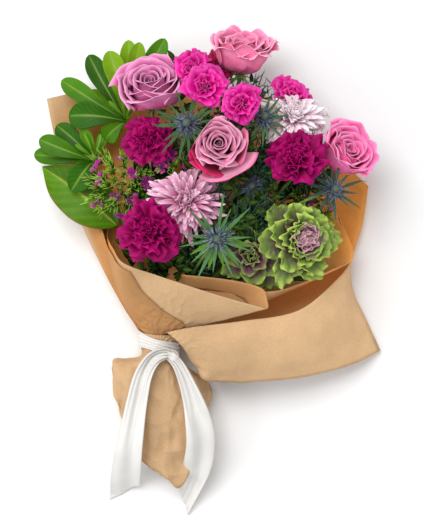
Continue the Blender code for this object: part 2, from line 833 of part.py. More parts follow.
# Each leaf: its tip, its half width, and how far its middle arches up.
FOLIAGE_LEAVES = {
    "foliage_1": (
        ((-171, 217, 46), 10, 5), ((-139, 246, 52), 10, 7), ((-115, 250, 60), 11, 6), ((-92, 263, 56), 9, 5),
        ((-79, 259, 70), 9, 4), ((-50, 264, 62), 10, 6), ((-162, 175, 56), 14, 6), ((-145, 200, 38), 11, 4),
        ((-120, 148, 48), 10, 4),
    ),
    "foliage_2": (
        ((-177, 165, 40), 10, 5), ((-197, 148, 46), 10, 6), ((-204, 131, 34), 9, 4), ((-146, 160, 58), 6, 3),
        ((-119, 161, 40), 6, 3), ((-158, 87, 56), 13, 5),
    ),
    "broad_leaf": (((-193, 116, 50), 29, 7),),
}


def leaf(foot, tip, half_width, arch, profile, waves=0.0):
    """A leaf from its foot to its tip, folded a little along its midrib, with the given outline."""
    along = unit(tip - foot)
    side = unit(np.cross(along, [0, 0, 1]))
    up = np.cross(side, along)
    length = np.linalg.norm(tip - foot)
    knots = np.linspace(0, 1, len(profile))

    def shape(a, t):
        width = half_width * a * np.interp(t, knots, profile)
        rise = arch * np.sin(math.pi * t) + 0.22 * np.abs(width) + waves * a * np.sin(9 * t)
        lengthways = np.multiply.outer(length * t, along)
        return foot + lengthways + np.multiply.outer(width, side) + np.multiply.outer(rise, up)

    return shape


def foliage(name, profile, rows, waves=0.0):
    """A woody stem whose leaves all spring from its tip."""
    tip = FOLIAGE_TIPS[name]
    way = unit(WAIST - tip)
    stalk = tube(stem_line(name), STEM_RADIUS)
    pieces = []
    for end, half_width, arch in FOLIAGE_LEAVES[name]:
        shape = leaf(tip + way * 3, np.array(end, float), half_width, arch, profile, waves)
        pieces.append(blade(2, rows, shape))
    fused(stalk, pieces, name, "leaf")


# ---------------------------------------------------------------- paper


def ring_point(offset, radius, turn):
    """A point on the gathered paper: offset along the bundle from the ribbon, and degrees from the right."""
    angle = math.radians(turn)
    across = WAIST_RIGHT * math.cos(angle) + WAIST_UP * math.sin(angle)
    return WAIST + WAIST_ALONG * offset + radius * across


def sheet(name, places, closed_rows=0, columns=0):
    """A sheet of paper from a grid of points, keyed by row and column. A face spans each four neighbours that are
    all there, and the first closed_rows rows run right round, back to their first column."""
    bm = bmesh.new()
    verts = {key: bm.verts.new((places[key] - ORIGIN) * MM) for key in sorted(places)}
    for row, column in sorted(places):
        beside = (column + 1) % columns if row < closed_rows else column + 1
        beside_above = (column + 1) % columns if row + 1 < closed_rows else column + 1
        corners = [(row, column), (row, beside), (row + 1, beside_above), (row + 1, column)]
        if all(corner in verts for corner in corners):
            bm.faces.new([verts[corner] for corner in corners])
    bmesh.ops.recalc_face_normals(bm, faces=bm.faces[:])
    bmesh.ops.triangulate(bm, faces=bm.faces[:])
    obj = new_object(name, mesh_from(name, bm))
    add_thickness(obj, PAPER)
    return keep(obj, name, "kraft")


# The outer sheet's edge from its left corner, round behind the flowers and down the right side to the foot of
# the wing: degrees round the bundle, each point, the height of the paper on the way there, and how far that way
# bows left.
OUTER_EDGE = (
    (172, (-190, 197, 26), 22, 18), (187, (-150, 206, 14), 10, 12), (203, (-105, 206, 3), 1.6, 4),
    (220, (-50, 206, 1.6), 1.6, 0), (236, (5, 206, 1.6), 1.6, 0), (250, (48, 212, 1.6), 1.6, 0),
    (262, (100, 174, 1.6), 1.6, 0), (273, (145, 136, 3), 1.6, 0), (283, (189, 95, 14), 1.6, 0),
    (292, (182, 48, 14), 2.2, 0), (300, (169, 7, 18), 4, 0), (308, (171, -28, 13), 4, 0),
    (316, (188, -66, 9), 4, 0), (324, (204, -100, 5), 3, 0), (331, (150, -121, 4), 3, 0),
    (338, (95, -131, 4), 4, 0), (345, (40, -136, 6), 6, 0), (352, (4, -128, 14), 12, 0),
)
FAN_STEPS = (0.14, 0.32, 0.55, 0.78, 1.0)

# The sheet is waved, so it rests on a small flat spot and two low points round the bouquet's weight. Each is
# given as its column and its step.
LOW_SPOTS = ((3, 1), (3, 2), (4, 1), (5, 4), (8, 1))

COLLAR_COLUMNS = 7
OUTER_RADIUS = 22.0
TAIL_ROWS = 4
RING_ROWS = TAIL_ROWS + 3

# The wing, from the fold on the right to the ribbon: points from its upper edge to its lower edge. Its four
# columns carry on from the edge points that start with FOLD_COLUMN.
FOLD_COLUMN = 10
WING = (
    ((150, -14, 58), (156, -50, 56), (160, -84, 46), (166, -116, 32)),
    ((104, -50, 92), (103, -76, 88), (104, -103, 74), (108, -129, 52)),
    ((40, -62, 92), (44, -84, 90), (48, -109, 76), (52, -134, 56)),
    ((-20, -70, 76), (-14, -90, 78), (-6, -112, 70), (2, -134, 56)),
    ((-48, -76, 66), (-36, -86, 69), (-27, -97, 66), (-18, -114, 58)),
)


def fan_point(edge, share):
    """Where the outer sheet lies on its way from the gather to its edge: it drops to the surface, runs along it
    and lifts again towards the edge."""
    turn, end, flat_z, bow = edge
    start = ring_point(STRAIGHT, OUTER_RADIUS, turn)
    end = np.array(end, float)
    place = start + (end - start) * share
    across = unit(np.array([start[1] - end[1], end[0] - start[0], 0]))
    place += across * bow * math.sin(math.pi * share)
    fall = max(0.0, 1 - share / 0.32) ** 2
    lift = max(0.0, (share - 0.55) / 0.45) ** 2
    place[2] = flat_z + (start[2] - flat_z) * fall + (end[2] - flat_z) * lift
    return place


def tail_point(turn, column, share):
    """The skirt of paper below the ribbon: it flares, is pleated, and ends in a point."""
    angle = math.radians(turn)
    half_width = through(share, (0, 0.3, 0.65, 1), (24, 53, 55, 44))
    half_height = through(share, (0, 0.3, 0.65, 1), (23, 28, 26, 18))
    pleat = 1 + 0.05 * (1 if column % 2 else -1) * min(1.0, 3 * share)
    length = 152 - 66 * abs(math.cos(angle)) ** 3
    centre = WAIST - WAIST_ALONG * STRAIGHT + unit(TAIL_AXIS) * length * share
    x = centre[0] + half_width * pleat * math.cos(angle)
    z = max(FLAT_PAPER_Z + 1.4, centre[2] + half_height * pleat * math.sin(angle))
    return np.array([x, centre[1], z])


def outer_paper():
    turns = [edge[0] for edge in OUTER_EDGE]
    gap = (turns[0] + 360 - turns[-1]) / (COLLAR_COLUMNS + 1)
    turns += [turns[-1] + gap * (k + 1) for k in range(COLLAR_COLUMNS)]
    places = {}
    for column, turn in enumerate(turns):
        for row in range(TAIL_ROWS):
            places[row, column] = tail_point(turn, column, 1 - row / TAIL_ROWS)
        for row, offset in enumerate((-STRAIGHT, 0, STRAIGHT)):
            places[TAIL_ROWS + row, column] = ring_point(offset, OUTER_RADIUS, turn)
    for column, edge in enumerate(OUTER_EDGE):
        for step, share in enumerate(FAN_STEPS):
            places[RING_ROWS + step, column] = fan_point(edge, share)
            if (column, step) in LOW_SPOTS:
                places[RING_ROWS + step, column][2] = FLAT_PAPER_Z
    edge_row = RING_ROWS + len(FAN_STEPS) - 1
    for step, points in enumerate(WING):
        for k, point in enumerate(points):
            places[edge_row + 1 + step, FOLD_COLUMN + k] = np.array(point, float)
    return sheet("outer_paper", places, RING_ROWS, len(turns))


# The inner sheet's mouth, from the corner that is tucked inside, round the right, the back and the left to the
# tip of the front flap: degrees round the bundle, the point, and how far the paper bellies out on the way.
INNER_MOUTH = (
    (105, (-44, 3, 82), 2), (85, (-9, -17, 88), 2), (62, (40, -27, 91), 3), (50, (76, -28, 90), 5),
    (38, (110, -18, 86), 7), (26, (142, -4, 76), 9), (14, (168, 9, 58), 10), (0, (163, 38, 34), 9),
    (-18, (147, 70, 16), 7), (-38, (118, 106, 7), 5), (-58, (74, 130, 4), 3), (-78, (22, 138, 4), 3),
    (-98, (-30, 136, 4), 3), (-118, (-72, 112, 6), 4), (-138, (-98, 84, 14), 6), (-158, (-112, 58, 28), 8),
    (-178, (-118, 38, 50), 9), (-198, (-109, 20, 80), 9), (-220, (-96, 4, 106), 7), (-240, (-60, -9, 114), 5),
    (-256, (-24, -21, 117), 4), (-268, (14, -33, 118), 3), (-278, (42, -41, 116), 2), (-286, (66, -48, 112), 0),
)
INNER_STEPS = (0.16, 0.36, 0.58, 0.8, 1.0)
INNER_RADII = (18.2, 19.9)  # at the tucked corner and at the flap that lies over it
INNER_SKIRT = 24.0


# The flap's end turns back on itself: points from the turn to the far end, at its top, middle and foot.
FLAP_TURN = (
    ((67, -37, 106), (46, -46, 93)),
    ((60, -24, 102), (38, -36, 88)),
    ((24, -15, 101), (8, -28, 87)),
    ((-30, -9, 99), (-30, -24, 87)),
)


def inner_paper():
    places = {}
    first, last = INNER_MOUTH[0][0], INNER_MOUTH[-1][0]
    for column, (turn, mouth, belly) in enumerate(INNER_MOUTH):
        radius = np.interp(-turn, (-first, -last), INNER_RADII)
        for row, offset in enumerate((-INNER_SKIRT, 0, STRAIGHT)):
            places[row, column] = ring_point(offset, radius, turn)
        start, end = places[2, column], np.array(mouth, float)
        outward = unit(start - ring_point(STRAIGHT, 0, turn))
        for step, share in enumerate(INNER_STEPS):
            bowed = outward * belly * 4 * share * (1 - share)
            places[3 + step, column] = start + (end - start) * share + bowed
    mouth_row = 2 + len(INNER_STEPS)
    for k, (top, foot) in enumerate(FLAP_TURN):
        column = len(INNER_MOUTH) + k
        places[mouth_row, column] = np.array(top, float)
        places[mouth_row - 1, column] = np.array(foot, float)
    return sheet("inner_paper", places)


# ---------------------------------------------------------------- ribbon


BAND_RADIUS = 23.5
BAND_WIDTH = 15.0
BAND_TILT = 5.5  # how far the band leans along the bundle between its left and right sides
RIBBON_HALF_WIDTH = 15.5
KNOT = np.array([-42.0, -104.0, 55.0])

RIBBON_TAILS = (
    ((-44, -104, 57), (-56, -103, 63), (-69, -117, 65), (-76, -140, 64), (-84, -168, 63), (-91, -198, 60),
     (-97, -226, 52), (-100, -250, 30), (-100, -269, 2.8)),
    ((-40, -106, 57), (-28, -124, 62), (-16, -148, 63), (-7, -178, 60), (-3, -208, 53), (-6, -236, 37),
     (-15, -260, 14), (-27, -279, 2.8)),
)


def band_shape(a, t):
    """A closed ring round the paper, from a = -1 to 1 across its width."""
    angle = 2 * math.pi * t
    lean = -BAND_TILT * np.cos(angle) + a * BAND_WIDTH / 2
    round_waist = np.multiply.outer(np.cos(angle), WAIST_RIGHT) + np.multiply.outer(np.sin(angle), WAIST_UP)
    return WAIST + BAND_RADIUS * round_waist + np.multiply.outer(lean, WAIST_ALONG)


def ribbon_band(segments=22):
    """The band is a tube of one row, its two ends welded, with its thickness outside the paper."""
    bm = bmesh.new()
    bmesh.ops.create_grid(bm, x_segments=1, y_segments=segments, size=1)
    bmesh.ops.triangulate(bm, faces=bm.faces[:])
    flat = np.array([v.co for v in bm.verts])
    places = band_shape(flat[:, 0], (flat[:, 1] + 1) / 2)
    for vert, place in zip(bm.verts, places):
        vert.co = (place - ORIGIN) * MM
    bmesh.ops.remove_doubles(bm, verts=bm.verts[:], dist=0.05 * MM)
    bmesh.ops.recalc_face_normals(bm, faces=bm.faces[:])
    obj = new_object("band", mesh_from("band", bm))
    add_thickness(obj, BLADE)
    return obj


def ribbon_tail(points, steps=2):
    """A flat length of ribbon along the points, narrow at the knot and cut on the slant at its end."""
    line = smooth_rows(points, steps)
    count = len(line) - 1

    def shape(a, t):
        index = np.rint(t * count).astype(int)
        ahead = line[np.minimum(index + 1, count)] - line[np.maximum(index - 1, 0)]
        side = np.cross(ahead, [0, 0, 1])
        side = side / np.linalg.norm(side, axis=1)[:, None]
        width = RIBBON_HALF_WIDTH * np.minimum(1, 0.3 + 2.2 * t)
        slant = np.where(index == count, a * 7.0, 0.0)
        forward = ahead / np.linalg.norm(ahead, axis=1)[:, None]
        place = line[index] + side * (a * width)[:, None] + forward * slant[:, None]
        place[:, 2] = np.maximum(place[:, 2], 3 * BLADE)
        return place

    return blade(1, count, shape)


def ribbon():
    pieces = [ribbon_tail(points) for points in RIBBON_TAILS]
    pieces.append(ball(np.eye(3), KNOT, (9, 7, 6.5)))
    return fused(ribbon_band(), pieces, "ribbon", "ribbon")


# ---------------------------------------------------------------- the bouquet


def main():
    outer_paper()
    inner_paper()
    ribbon()
    for name in HEADS:
        kind = name.split("_")[0]
        if kind == "rose":
            rose(name)
            single_stem(name, sepals=5)
        elif kind == "carnation":
            carnation(name, CARNATION_RINGS, "dark_carnation")
            single_stem(name)
        elif kind == "mini":
            carnation(name, MINI_RINGS, "magenta")
        elif kind == "mum":
            mum(name)
            single_stem(name)
        elif kind == "kale":
            single_stem(name)
        elif kind == "thistle":
            thistle(name)
        else:
            sweet_william(name)
    for spray in FORKS:
        forked_stem(spray)
    kale_leaves("kale_large", KALE_OUTER, 3, 4.5, 5.5, 0, "kale_large_leaves", "kale_green")
    kale_leaves("kale_large", KALE_HEART, 2, 2.0, 3.0, 12.0 + GAP, "kale_large_heart", "kale_purple")
    kale_leaves("kale_small", KALE_SMALL, 2, 3.5, 4, 0, "kale_small_leaves", "kale_green")
    foliage("foliage_1", OBOVATE, 2)
    foliage("foliage_2", OBOVATE, 2)
    foliage("broad_leaf", OVATE, 4, waves=1.5)


STEM_LINES = stem_lines(stem_ends(), bundle_slots(stem_ends()))
main()
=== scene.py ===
import math

import bmesh
import bpy
import numpy as np
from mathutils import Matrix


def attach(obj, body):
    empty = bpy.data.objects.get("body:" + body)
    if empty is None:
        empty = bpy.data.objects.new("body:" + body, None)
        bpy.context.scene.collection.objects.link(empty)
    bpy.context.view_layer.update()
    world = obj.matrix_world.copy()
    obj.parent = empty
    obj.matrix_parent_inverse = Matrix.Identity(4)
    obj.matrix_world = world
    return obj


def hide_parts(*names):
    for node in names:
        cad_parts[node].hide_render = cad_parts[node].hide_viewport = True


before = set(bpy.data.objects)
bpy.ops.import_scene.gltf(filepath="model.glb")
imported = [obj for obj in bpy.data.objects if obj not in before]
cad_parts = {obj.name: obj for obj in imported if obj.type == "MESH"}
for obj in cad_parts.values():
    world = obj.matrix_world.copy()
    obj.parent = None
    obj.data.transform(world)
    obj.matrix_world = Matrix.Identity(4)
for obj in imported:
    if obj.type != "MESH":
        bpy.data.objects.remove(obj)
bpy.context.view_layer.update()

# ---------------------------------------------------------------- table, light and camera
# The bouquet lies on a plain pale table and is looked at from straight above, under a large soft
# box and a smaller one to the left of the flowers.

MM = 0.001
LIT_MIDDLE = (0, 0.03, 0.08)  # the middle of the flowers, in metres, where the lights point


def stage_plane(name, half, height):
    """A square of the given half side at the given height."""
    mesh = bpy.data.meshes.new(name)
    corners = np.array([(-1, -1, 0), (1, -1, 0), (1, 1, 0), (-1, 1, 0)]) * half + (0, 0, height)
    mesh.from_pydata(corners.tolist(), [], [(0, 1, 2, 3)])
    plane = bpy.data.objects.new(name, mesh)
    bpy.context.scene.collection.objects.link(plane)
    return plane


def soft_box(name, place, power, size):
    """A square area light at place, turned to the flowers' middle."""
    light = bpy.data.lights.new(name, "AREA")
    light.energy, light.size = power, size
    lamp = bpy.data.objects.new(name, light)
    lamp.location = place
    away = np.array(place, float) - LIT_MIDDLE
    level = math.hypot(away[0], away[1])
    lamp.rotation_euler = (math.atan2(level, away[2]), 0, math.atan2(away[0], -away[1]))
    bpy.context.scene.collection.objects.link(lamp)


def plain_material(name, colour, roughness):
    """A material of one colour, for the table."""
    material = bpy.data.materials.new(name)
    material.use_nodes = True
    shader = material.node_tree.nodes["Principled BSDF"]
    shader.inputs["Base Color"].default_value = (*colour, 1)
    shader.inputs["Roughness"].default_value = roughness
    return material


table_top = stage_plane("table_top", 6.0, -0.0006)
table_top.data.materials.append(plain_material("pale_table", (0.93, 0.93, 0.93), 0.9))

soft_box("overhead_box", (-0.5, 0.9, 2.2), 34, 1.3)
soft_box("side_box", (-1.5, -0.3, 1.2), 9, 0.9)

world = bpy.data.worlds.new("studio")
world.use_nodes = True
background = world.node_tree.nodes["Background"]
background.inputs["Color"].default_value = (1, 1, 1, 1)
background.inputs["Strength"].default_value = 0.66
bpy.context.scene.world = world
bpy.context.scene.view_settings.view_transform = "Standard"

CAMERA_HEIGHT = 2.5
VIEW_HALF_HEIGHT = 0.296  # what the view takes in either way at the height of the flowers' middle
lens = bpy.data.cameras.new("camera")
lens.sensor_width = 36
lens.lens = lens.sensor_width / 2 * (CAMERA_HEIGHT - LIT_MIDDLE[2]) / VIEW_HALF_HEIGHT
lens.clip_start, lens.clip_end = 0.05, 60
camera = bpy.data.objects.new("camera", lens)
camera.location = (0.005, 0.0155, CAMERA_HEIGHT)
bpy.context.scene.collection.objects.link(camera)
bpy.context.scene.camera = camera

# ---------------------------------------------------------------- kraft paper
# Two sheets of brown kraft paper, plain and unprinted, wound round the stems. The outer one lies under
# the flowers, is folded over on the right and is gathered below the ribbon; the inner one is a cone.

MIDDLE = np.array([0.0, -5.0, 0.0])  # the world's origin; every place below is in millimetres
WAIST = np.array([-57.5, -92.0, 30.0])  # the middle of the gather, where the ribbon holds it
STRAIGHT = 15.0  # how far the paper runs straight, either way from the ribbon


def unit(vector):
    """The vector, or each of an array of vectors, made one long."""
    vector = np.asarray(vector, float)
    return vector / np.linalg.norm(vector, axis=-1, keepdims=True)


BUNDLE_AXIS = unit((0.15, 0.96, 0.20))
TAIL_AXIS = unit((0.03, -1.0, -0.03))
WAIST_ALONG = unit(BUNDLE_AXIS - TAIL_AXIS)
WAIST_RIGHT = unit(np.cross(WAIST_ALONG, (0, 0, 1)))
WAIST_UP = np.cross(WAIST_RIGHT, WAIST_ALONG)


def smooth(rows, steps):
    """A smooth curve through the points along the first axis, steps points to each span. Between two
    points it is the cubic whose slope at each end is half the way between that end's neighbours."""
    rows = np.asarray(rows, float)
    ends = np.concatenate([[2 * rows[0] - rows[1]], rows, [2 * rows[-1] - rows[-2]]])
    t = (np.arange(steps) / steps).reshape(-1, *([1] * rows.ndim))
    before, here, there, after = ends[:-3], ends[1:-2], ends[2:-1], ends[3:]
    spans = 0.5 * (2 * here + (there - before) * t + (2 * before - 5 * here + 4 * there - after) * t**2
                   + (3 * here - before - 3 * there + after) * t**3)
    return np.concatenate([np.moveaxis(spans, 0, 1).reshape(-1, *rows.shape[1:]), rows[-1:]])


def smooth_both_ways(grid, steps, corners=()):
    """Smooths a grid along its rows and across its columns; at the corner columns it keeps a sharp crease."""
    grid = np.swapaxes(smooth(grid, steps), 0, 1)
    cuts = [0, *corners, len(grid) - 1]
    parts = [smooth(grid[first: last + 1], steps) for first, last in zip(cuts, cuts[1:])]
    return np.swapaxes(np.concatenate([part[:-1] for part in parts[:-1]] + parts[-1:]), 0, 1)


def waves(points, length, seed, count=14):
    """Soft lumps in space, from -1 to 1: the sum of plane waves about length millimetres long whose
    ways, lengths and starts are drawn at random."""
    draw = np.random.default_rng(seed)
    ways = unit(draw.normal(size=(count, 3))) * (2 * math.pi / length) * draw.uniform(0.6, 1.6, (count, 1))
    return np.sin(points @ ways.T + draw.uniform(0, 6.283, count)).sum(-1) / math.sqrt(count) / 1.6


class Sheets:
    """Gathers grids of points, each with its colours, and joins them into one mesh. Each grid is one cut of
    petal, leaf or cloth, and the map named cut gives every point its share across it and along it."""

    def __init__(self):
        self.points, self.tones, self.cuts, self.faces, self.count = [], [], [], [], 0

    def add(self, points, tone):
        rows, columns = points.shape[:2]
        place = self.count + np.arange(rows * columns).reshape(rows, columns)
        corners = (place[:-1, :-1], place[:-1, 1:], place[1:, 1:], place[1:, :-1])
        self.faces.append(np.stack(corners, -1).reshape(-1, 4))
        self.points.append(points.reshape(-1, 3))
        self.tones.append(np.broadcast_to(tone, points.shape).reshape(-1, 3))
        across, along = np.linspace(0, 1, columns)[None], np.linspace(0, 1, rows)[:, None]
        self.cuts.append(np.stack(np.broadcast_arrays(across, along), -1).reshape(-1, 2))
        self.count += rows * columns

    def object(self, name, material, node=None, slot=None, thickness=0.0, weld=False, crumple=None):
        """Puts the gathered grids into one mesh that rides on the bouquet. A wall of the given thickness is
        put round it, its doubles are merged where weld is set, and crumple says how far each point then
        stands off along its normal, but never under the table."""
        points = (np.concatenate(self.points) - MIDDLE) * MM
        faces = np.concatenate(self.faces)
        mesh = bpy.data.meshes.new(name)
        mesh.vertices.add(len(points))
        mesh.vertices.foreach_set("co", points.ravel())
        mesh.loops.add(faces.size)
        mesh.loops.foreach_set("vertex_index", faces.ravel())
        mesh.polygons.add(len(faces))
        mesh.polygons.foreach_set("loop_start", np.arange(0, faces.size, 4))
        mesh.polygons.foreach_set("loop_total", np.full(len(faces), 4))
        mesh.update(calc_edges=True)
        cuts = np.concatenate(self.cuts)[faces.ravel()]
        mesh.uv_layers.new(name="cut").data.foreach_set("uv", cuts.ravel())
        tones = np.c_[np.concatenate(self.tones), np.ones(len(points))]
        mesh.color_attributes.new("tone", "FLOAT_COLOR", "POINT").data.foreach_set("color", tones.ravel())
        mesh.polygons.foreach_set("use_smooth", np.ones(len(faces), bool))
        thing = bpy.data.objects.new(name, mesh)
        bpy.context.scene.collection.objects.link(thing)
        if weld or crumple:
            bm = bmesh.new()
            bm.from_mesh(mesh)
            bmesh.ops.remove_doubles(bm, verts=bm.verts[:], dist=0.02 * MM)
            bmesh.ops.dissolve_degenerate(bm, edges=bm.edges[:], dist=0.001 * MM)
            bm.to_mesh(mesh)
            bm.free()
        if crumple:
            places, normals = np.empty((2, len(mesh.vertices) * 3))
            mesh.vertices.foreach_get("co", places)
            mesh.vertices.foreach_get("normal", normals)
            places, normals = places.reshape(-1, 3), normals.reshape(-1, 3)
            places += normals * crumple(places / MM + MIDDLE)[:, None] * MM
            places[:, 2] = np.maximum(places[:, 2], (thickness / 2 + 0.02) * MM)
            mesh.vertices.foreach_set("co", places.ravel())
            mesh.update()
        mesh.materials.append(material)
        if thickness:
            wall = thing.modifiers.new("thickness", "SOLIDIFY")
            wall.thickness, wall.offset = thickness * MM, 0
        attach(thing, "root")
        if node:
            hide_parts(node)
        return thing


def gather_point(offset, radius, turn):
    """A point on the gathered paper: offset along the bundle from the ribbon, and turn in degrees from the
    right."""
    angle = math.radians(turn)
    outward = WAIST_RIGHT * math.cos(angle) + WAIST_UP * math.sin(angle)
    return WAIST + WAIST_ALONG * offset + radius * outward


# The outer sheet's edge, from its left corner round behind the flowers to the foot of the fold: degrees
# round the bundle, the point, the height of the paper on its way there, and how far that way bows left.
OUTER_EDGE = (
    (172, (-190, 197, 26), 22, 18), (187, (-150, 206, 14), 10, 12), (203, (-105, 206, 3), 1.6, 4),
    (220, (-50, 206, 1.6), 1.6, 0), (236, (5, 206, 1.6), 1.6, 0), (250, (48, 212, 1.6), 1.6, 0),
    (262, (100, 174, 1.6), 1.6, 0), (273, (145, 136, 3), 1.6, 0), (283, (189, 95, 14), 1.6, 0),
    (292, (182, 48, 14), 2.2, 0), (300, (169, 7, 18), 4, 0), (308, (171, -28, 13), 4, 0),
    (316, (188, -66, 9), 4, 0), (324, (204, -100, 5), 3, 0), (331, (150, -121, 4), 3, 0),
    (338, (95, -131, 4), 4, 0), (345, (40, -136, 6), 6, 0), (352, (4, -128, 14), 12, 0),
)
FAN_SHARES = (0.14, 0.32, 0.55, 0.78, 1.0)  # where the sheet's rows lie between the gather and the edge
OUTER_RADIUS = 22.0
COLLAR_COLUMNS = 7  # the columns that close the skirt below the ribbon, over its front
FOLD_COLUMN = 10  # the first column of the part that is folded over, whose rows to the knot follow
FOLDED_PART = (
    ((150, -14, 58), (156, -50, 56), (160, -84, 46), (166, -116, 32)),
    ((104, -50, 92), (103, -76, 88), (104, -103, 74), (108, -129, 52)),
    ((40, -62, 92), (44, -84, 90), (48, -109, 76), (52, -134, 56)),
    ((-20, -70, 76), (-14, -90, 78), (-6, -112, 70), (2, -134, 56)),
    ((-48, -76, 66), (-36, -86, 69), (-27, -97, 66), (-18, -114, 58)),
)


def fan_point(edge, share):
    """On its way from the gather to the edge the sheet drops to the table, runs along it and lifts again: its
    height falls over the first third and rises over the last half, each as a square, and it bows sideways
    as a half sine."""
    turn, end, flat_height, bow = edge
    start, end = gather_point(STRAIGHT, OUTER_RADIUS, turn), np.array(end, float)
    place = start + (end - start) * share
    place += unit((start[1] - end[1], end[0] - start[0], 0)) * bow * math.sin(math.pi * share)
    fall, lift = max(0.0, 1 - share / 0.32) ** 2, max(0.0, (share - 0.55) / 0.45) ** 2
    place[2] = flat_height + (start[2] - flat_height) * fall + (end[2] - flat_height) * lift
    return place


# The skirt below the ribbon: its half widths and half heights at shares of its length, and how long it is
# at places across it, from -1 at its left to 1 at its right.
SKIRT_SHARES = (0, 0.3, 0.65, 1)
SKIRT_HALF_WIDTHS, SKIRT_HALF_HEIGHTS = (24, 53, 55, 44), (23, 28, 26, 18)
SKIRT_PLACES = (-1, -0.75, -0.45, 0.1, 0.35, 0.62, 0.85, 1)
SKIRT_LENGTHS = (82, 104, 128, 140, 155, 152, 118, 88)


def skirt_point(turn, column, share):
    """Below the ribbon the paper flares in pleats, which every other column stands out as, with a square
    shoulder at the left, and ends in a point."""
    angle = math.radians(turn)
    half_width = np.polyval(np.polyfit(SKIRT_SHARES, SKIRT_HALF_WIDTHS, 3), share)
    half_height = np.polyval(np.polyfit(SKIRT_SHARES, SKIRT_HALF_HEIGHTS, 3), share)
    pleat = 1 + (0.05 * (1 if column % 2 else -1) + 0.05 * math.sin(5.3 * column)) * min(1.0, 3 * share)
    shoulder = 16 * max(0.0, -math.cos(angle)) ** 2 * math.sin(math.pi * min(1.0, 2 * share)) * (share < 0.5)
    length = np.interp(math.cos(angle), SKIRT_PLACES, SKIRT_LENGTHS) - 5 * (math.sin(angle) < 0)
    centre = WAIST - WAIST_ALONG * STRAIGHT + TAIL_AXIS * length * share
    x = centre[0] + (half_width * pleat + 0.4 * shoulder) * math.cos(angle)
    return np.array([x, centre[1] + shoulder, max(1.9, centre[2] + half_height * pleat * math.sin(angle))])


TAN, AMBER = np.array([0.62, 0.40, 0.215]), np.array([0.66, 0.27, 0.055])
FLOWER_MIDDLE = np.array([15.0, 105.0])
LIT_REACH = 118  # how far from the flowers' middle the light through the paper is strongest


def rightward(points, gain):
    """How much brighter the paper is towards the light at the right, from 1 at the middle to 1 + gain."""
    return 1 + gain * np.clip((points[..., :1] - 30) / 90, 0, 1)


def lit_through(points):
    """Kraft paper is tan where it is lit from its face and amber where light comes through it, which is near
    the flowers, inside the wrap. The share of amber falls off evenly on either side of LIT_REACH."""
    out = np.linalg.norm((points[..., :2] - FLOWER_MIDDLE) / (1.25, 1.0), axis=-1)
    fade = np.where(points[..., 0] < 0, 52, 75)
    share = np.clip(1.25 - np.abs(out - LIT_REACH) / fade, 0, 1)[..., None]
    return (TAN + (AMBER - TAN) * share) * rightward(points, 0.45)


def paper_creases(points):
    """How far creased paper stands off its smooth form: fine lumps all over, and long sharp folds where the
    gathering at the ribbon has crushed it. A sharp fold is a wave whose trough is cut off."""
    below = np.clip((-40 - points[:, 1]) / 60, 0, 1) * np.clip((60 - points[:, 0]) / 60, 0, 1)
    free = np.clip((np.abs((points - WAIST) @ WAIST_ALONG) - 13) / 12, 0, 1)
    folds = 1 - 2 * np.abs(waves(points * (1, 0.6, 1), 52, 3))
    fine = 1 - 2 * np.abs(waves(points * (1, 0.7, 1), 24, 5))
    return 0.6 * free * waves(points, 60, 1) + free * below * (4.2 * folds + 1.8 * fine)


def mix(tree, kind, one, other, share):
    """A colour mix of two sockets or colours by a share."""
    node = tree.nodes.new("ShaderNodeMix")
    node.data_type, node.blend_type = "RGBA", kind
    for socket, value in ((node.inputs[0], share), (node.inputs[6], one), (node.inputs[7], other)):
        if isinstance(value, bpy.types.NodeSocket):
            tree.links.new(value, socket)
        else:
            socket.default_value = value if isinstance(value, (int, float)) else (*value, 1)
    return node.outputs[2]


def math_node(tree, operation, *values):
    """The result of a sum on sockets or plain numbers."""
    node = tree.nodes.new("ShaderNodeMath")
    node.operation = operation
    for socket, value in zip(node.inputs, values):
        if isinstance(value, bpy.types.NodeSocket):
            tree.links.new(value, socket)
        else:
            socket.default_value = value
    return node.outputs[0]


def clamped(tree, value):
    """The value held between 0 and 1."""
    return math_node(tree, "MINIMUM", math_node(tree, "MAXIMUM", value, 0.0), 1.0)


def ramp(tree, value, stops):
    """Maps a value through stops of (place, brightness)."""
    node = tree.nodes.new("ShaderNodeValToRGB")
    elements = node.color_ramp.elements
    while len(elements) < len(stops):
        elements.new(0.5)
    for element, (place, grey) in zip(elements, stops):
        element.position, element.color = place, (grey, grey, grey, 1)
    tree.links.new(value, node.inputs[0])
    return node.outputs[0]


def noise(tree, vector, scale, detail=3.0, roughness=0.5):
    """A cloudy value from 0 to 1, with scale lumps to the metre."""
    node = tree.nodes.new("ShaderNodeTexNoise")
    node.inputs["Scale"].default_value = scale
    node.inputs["Detail"].default_value = detail
    node.inputs["Roughness"].default_value = roughness
    tree.links.new(vector, node.inputs["Vector"])
    return node.outputs["Fac"]


def toned_material(name, roughness):
    """A material whose colour starts from the mesh's own tones; gives its tree, its shader and the tone."""
    material = bpy.data.materials.new(name)
    material.use_nodes = True
    tree = material.node_tree
    shader = tree.nodes["Principled BSDF"]
    shader.inputs["Roughness"].default_value = roughness
    tone = tree.nodes.new("ShaderNodeVertexColor")
    tone.layer_name = "tone"
    return material, tree, shader, tone.outputs["Color"]


def bump(tree, shader, height, strength, distance):
    """Tilts the shader's normal as a relief of the given height would, distance metres to each 1 of it."""
    node = tree.nodes.new("ShaderNodeBump")
    node.inputs["Strength"].default_value = strength
    node.inputs["Distance"].default_value = distance
    tree.links.new(height, node.inputs["Height"])
    tree.links.new(node.outputs[0], shader.inputs["Normal"])


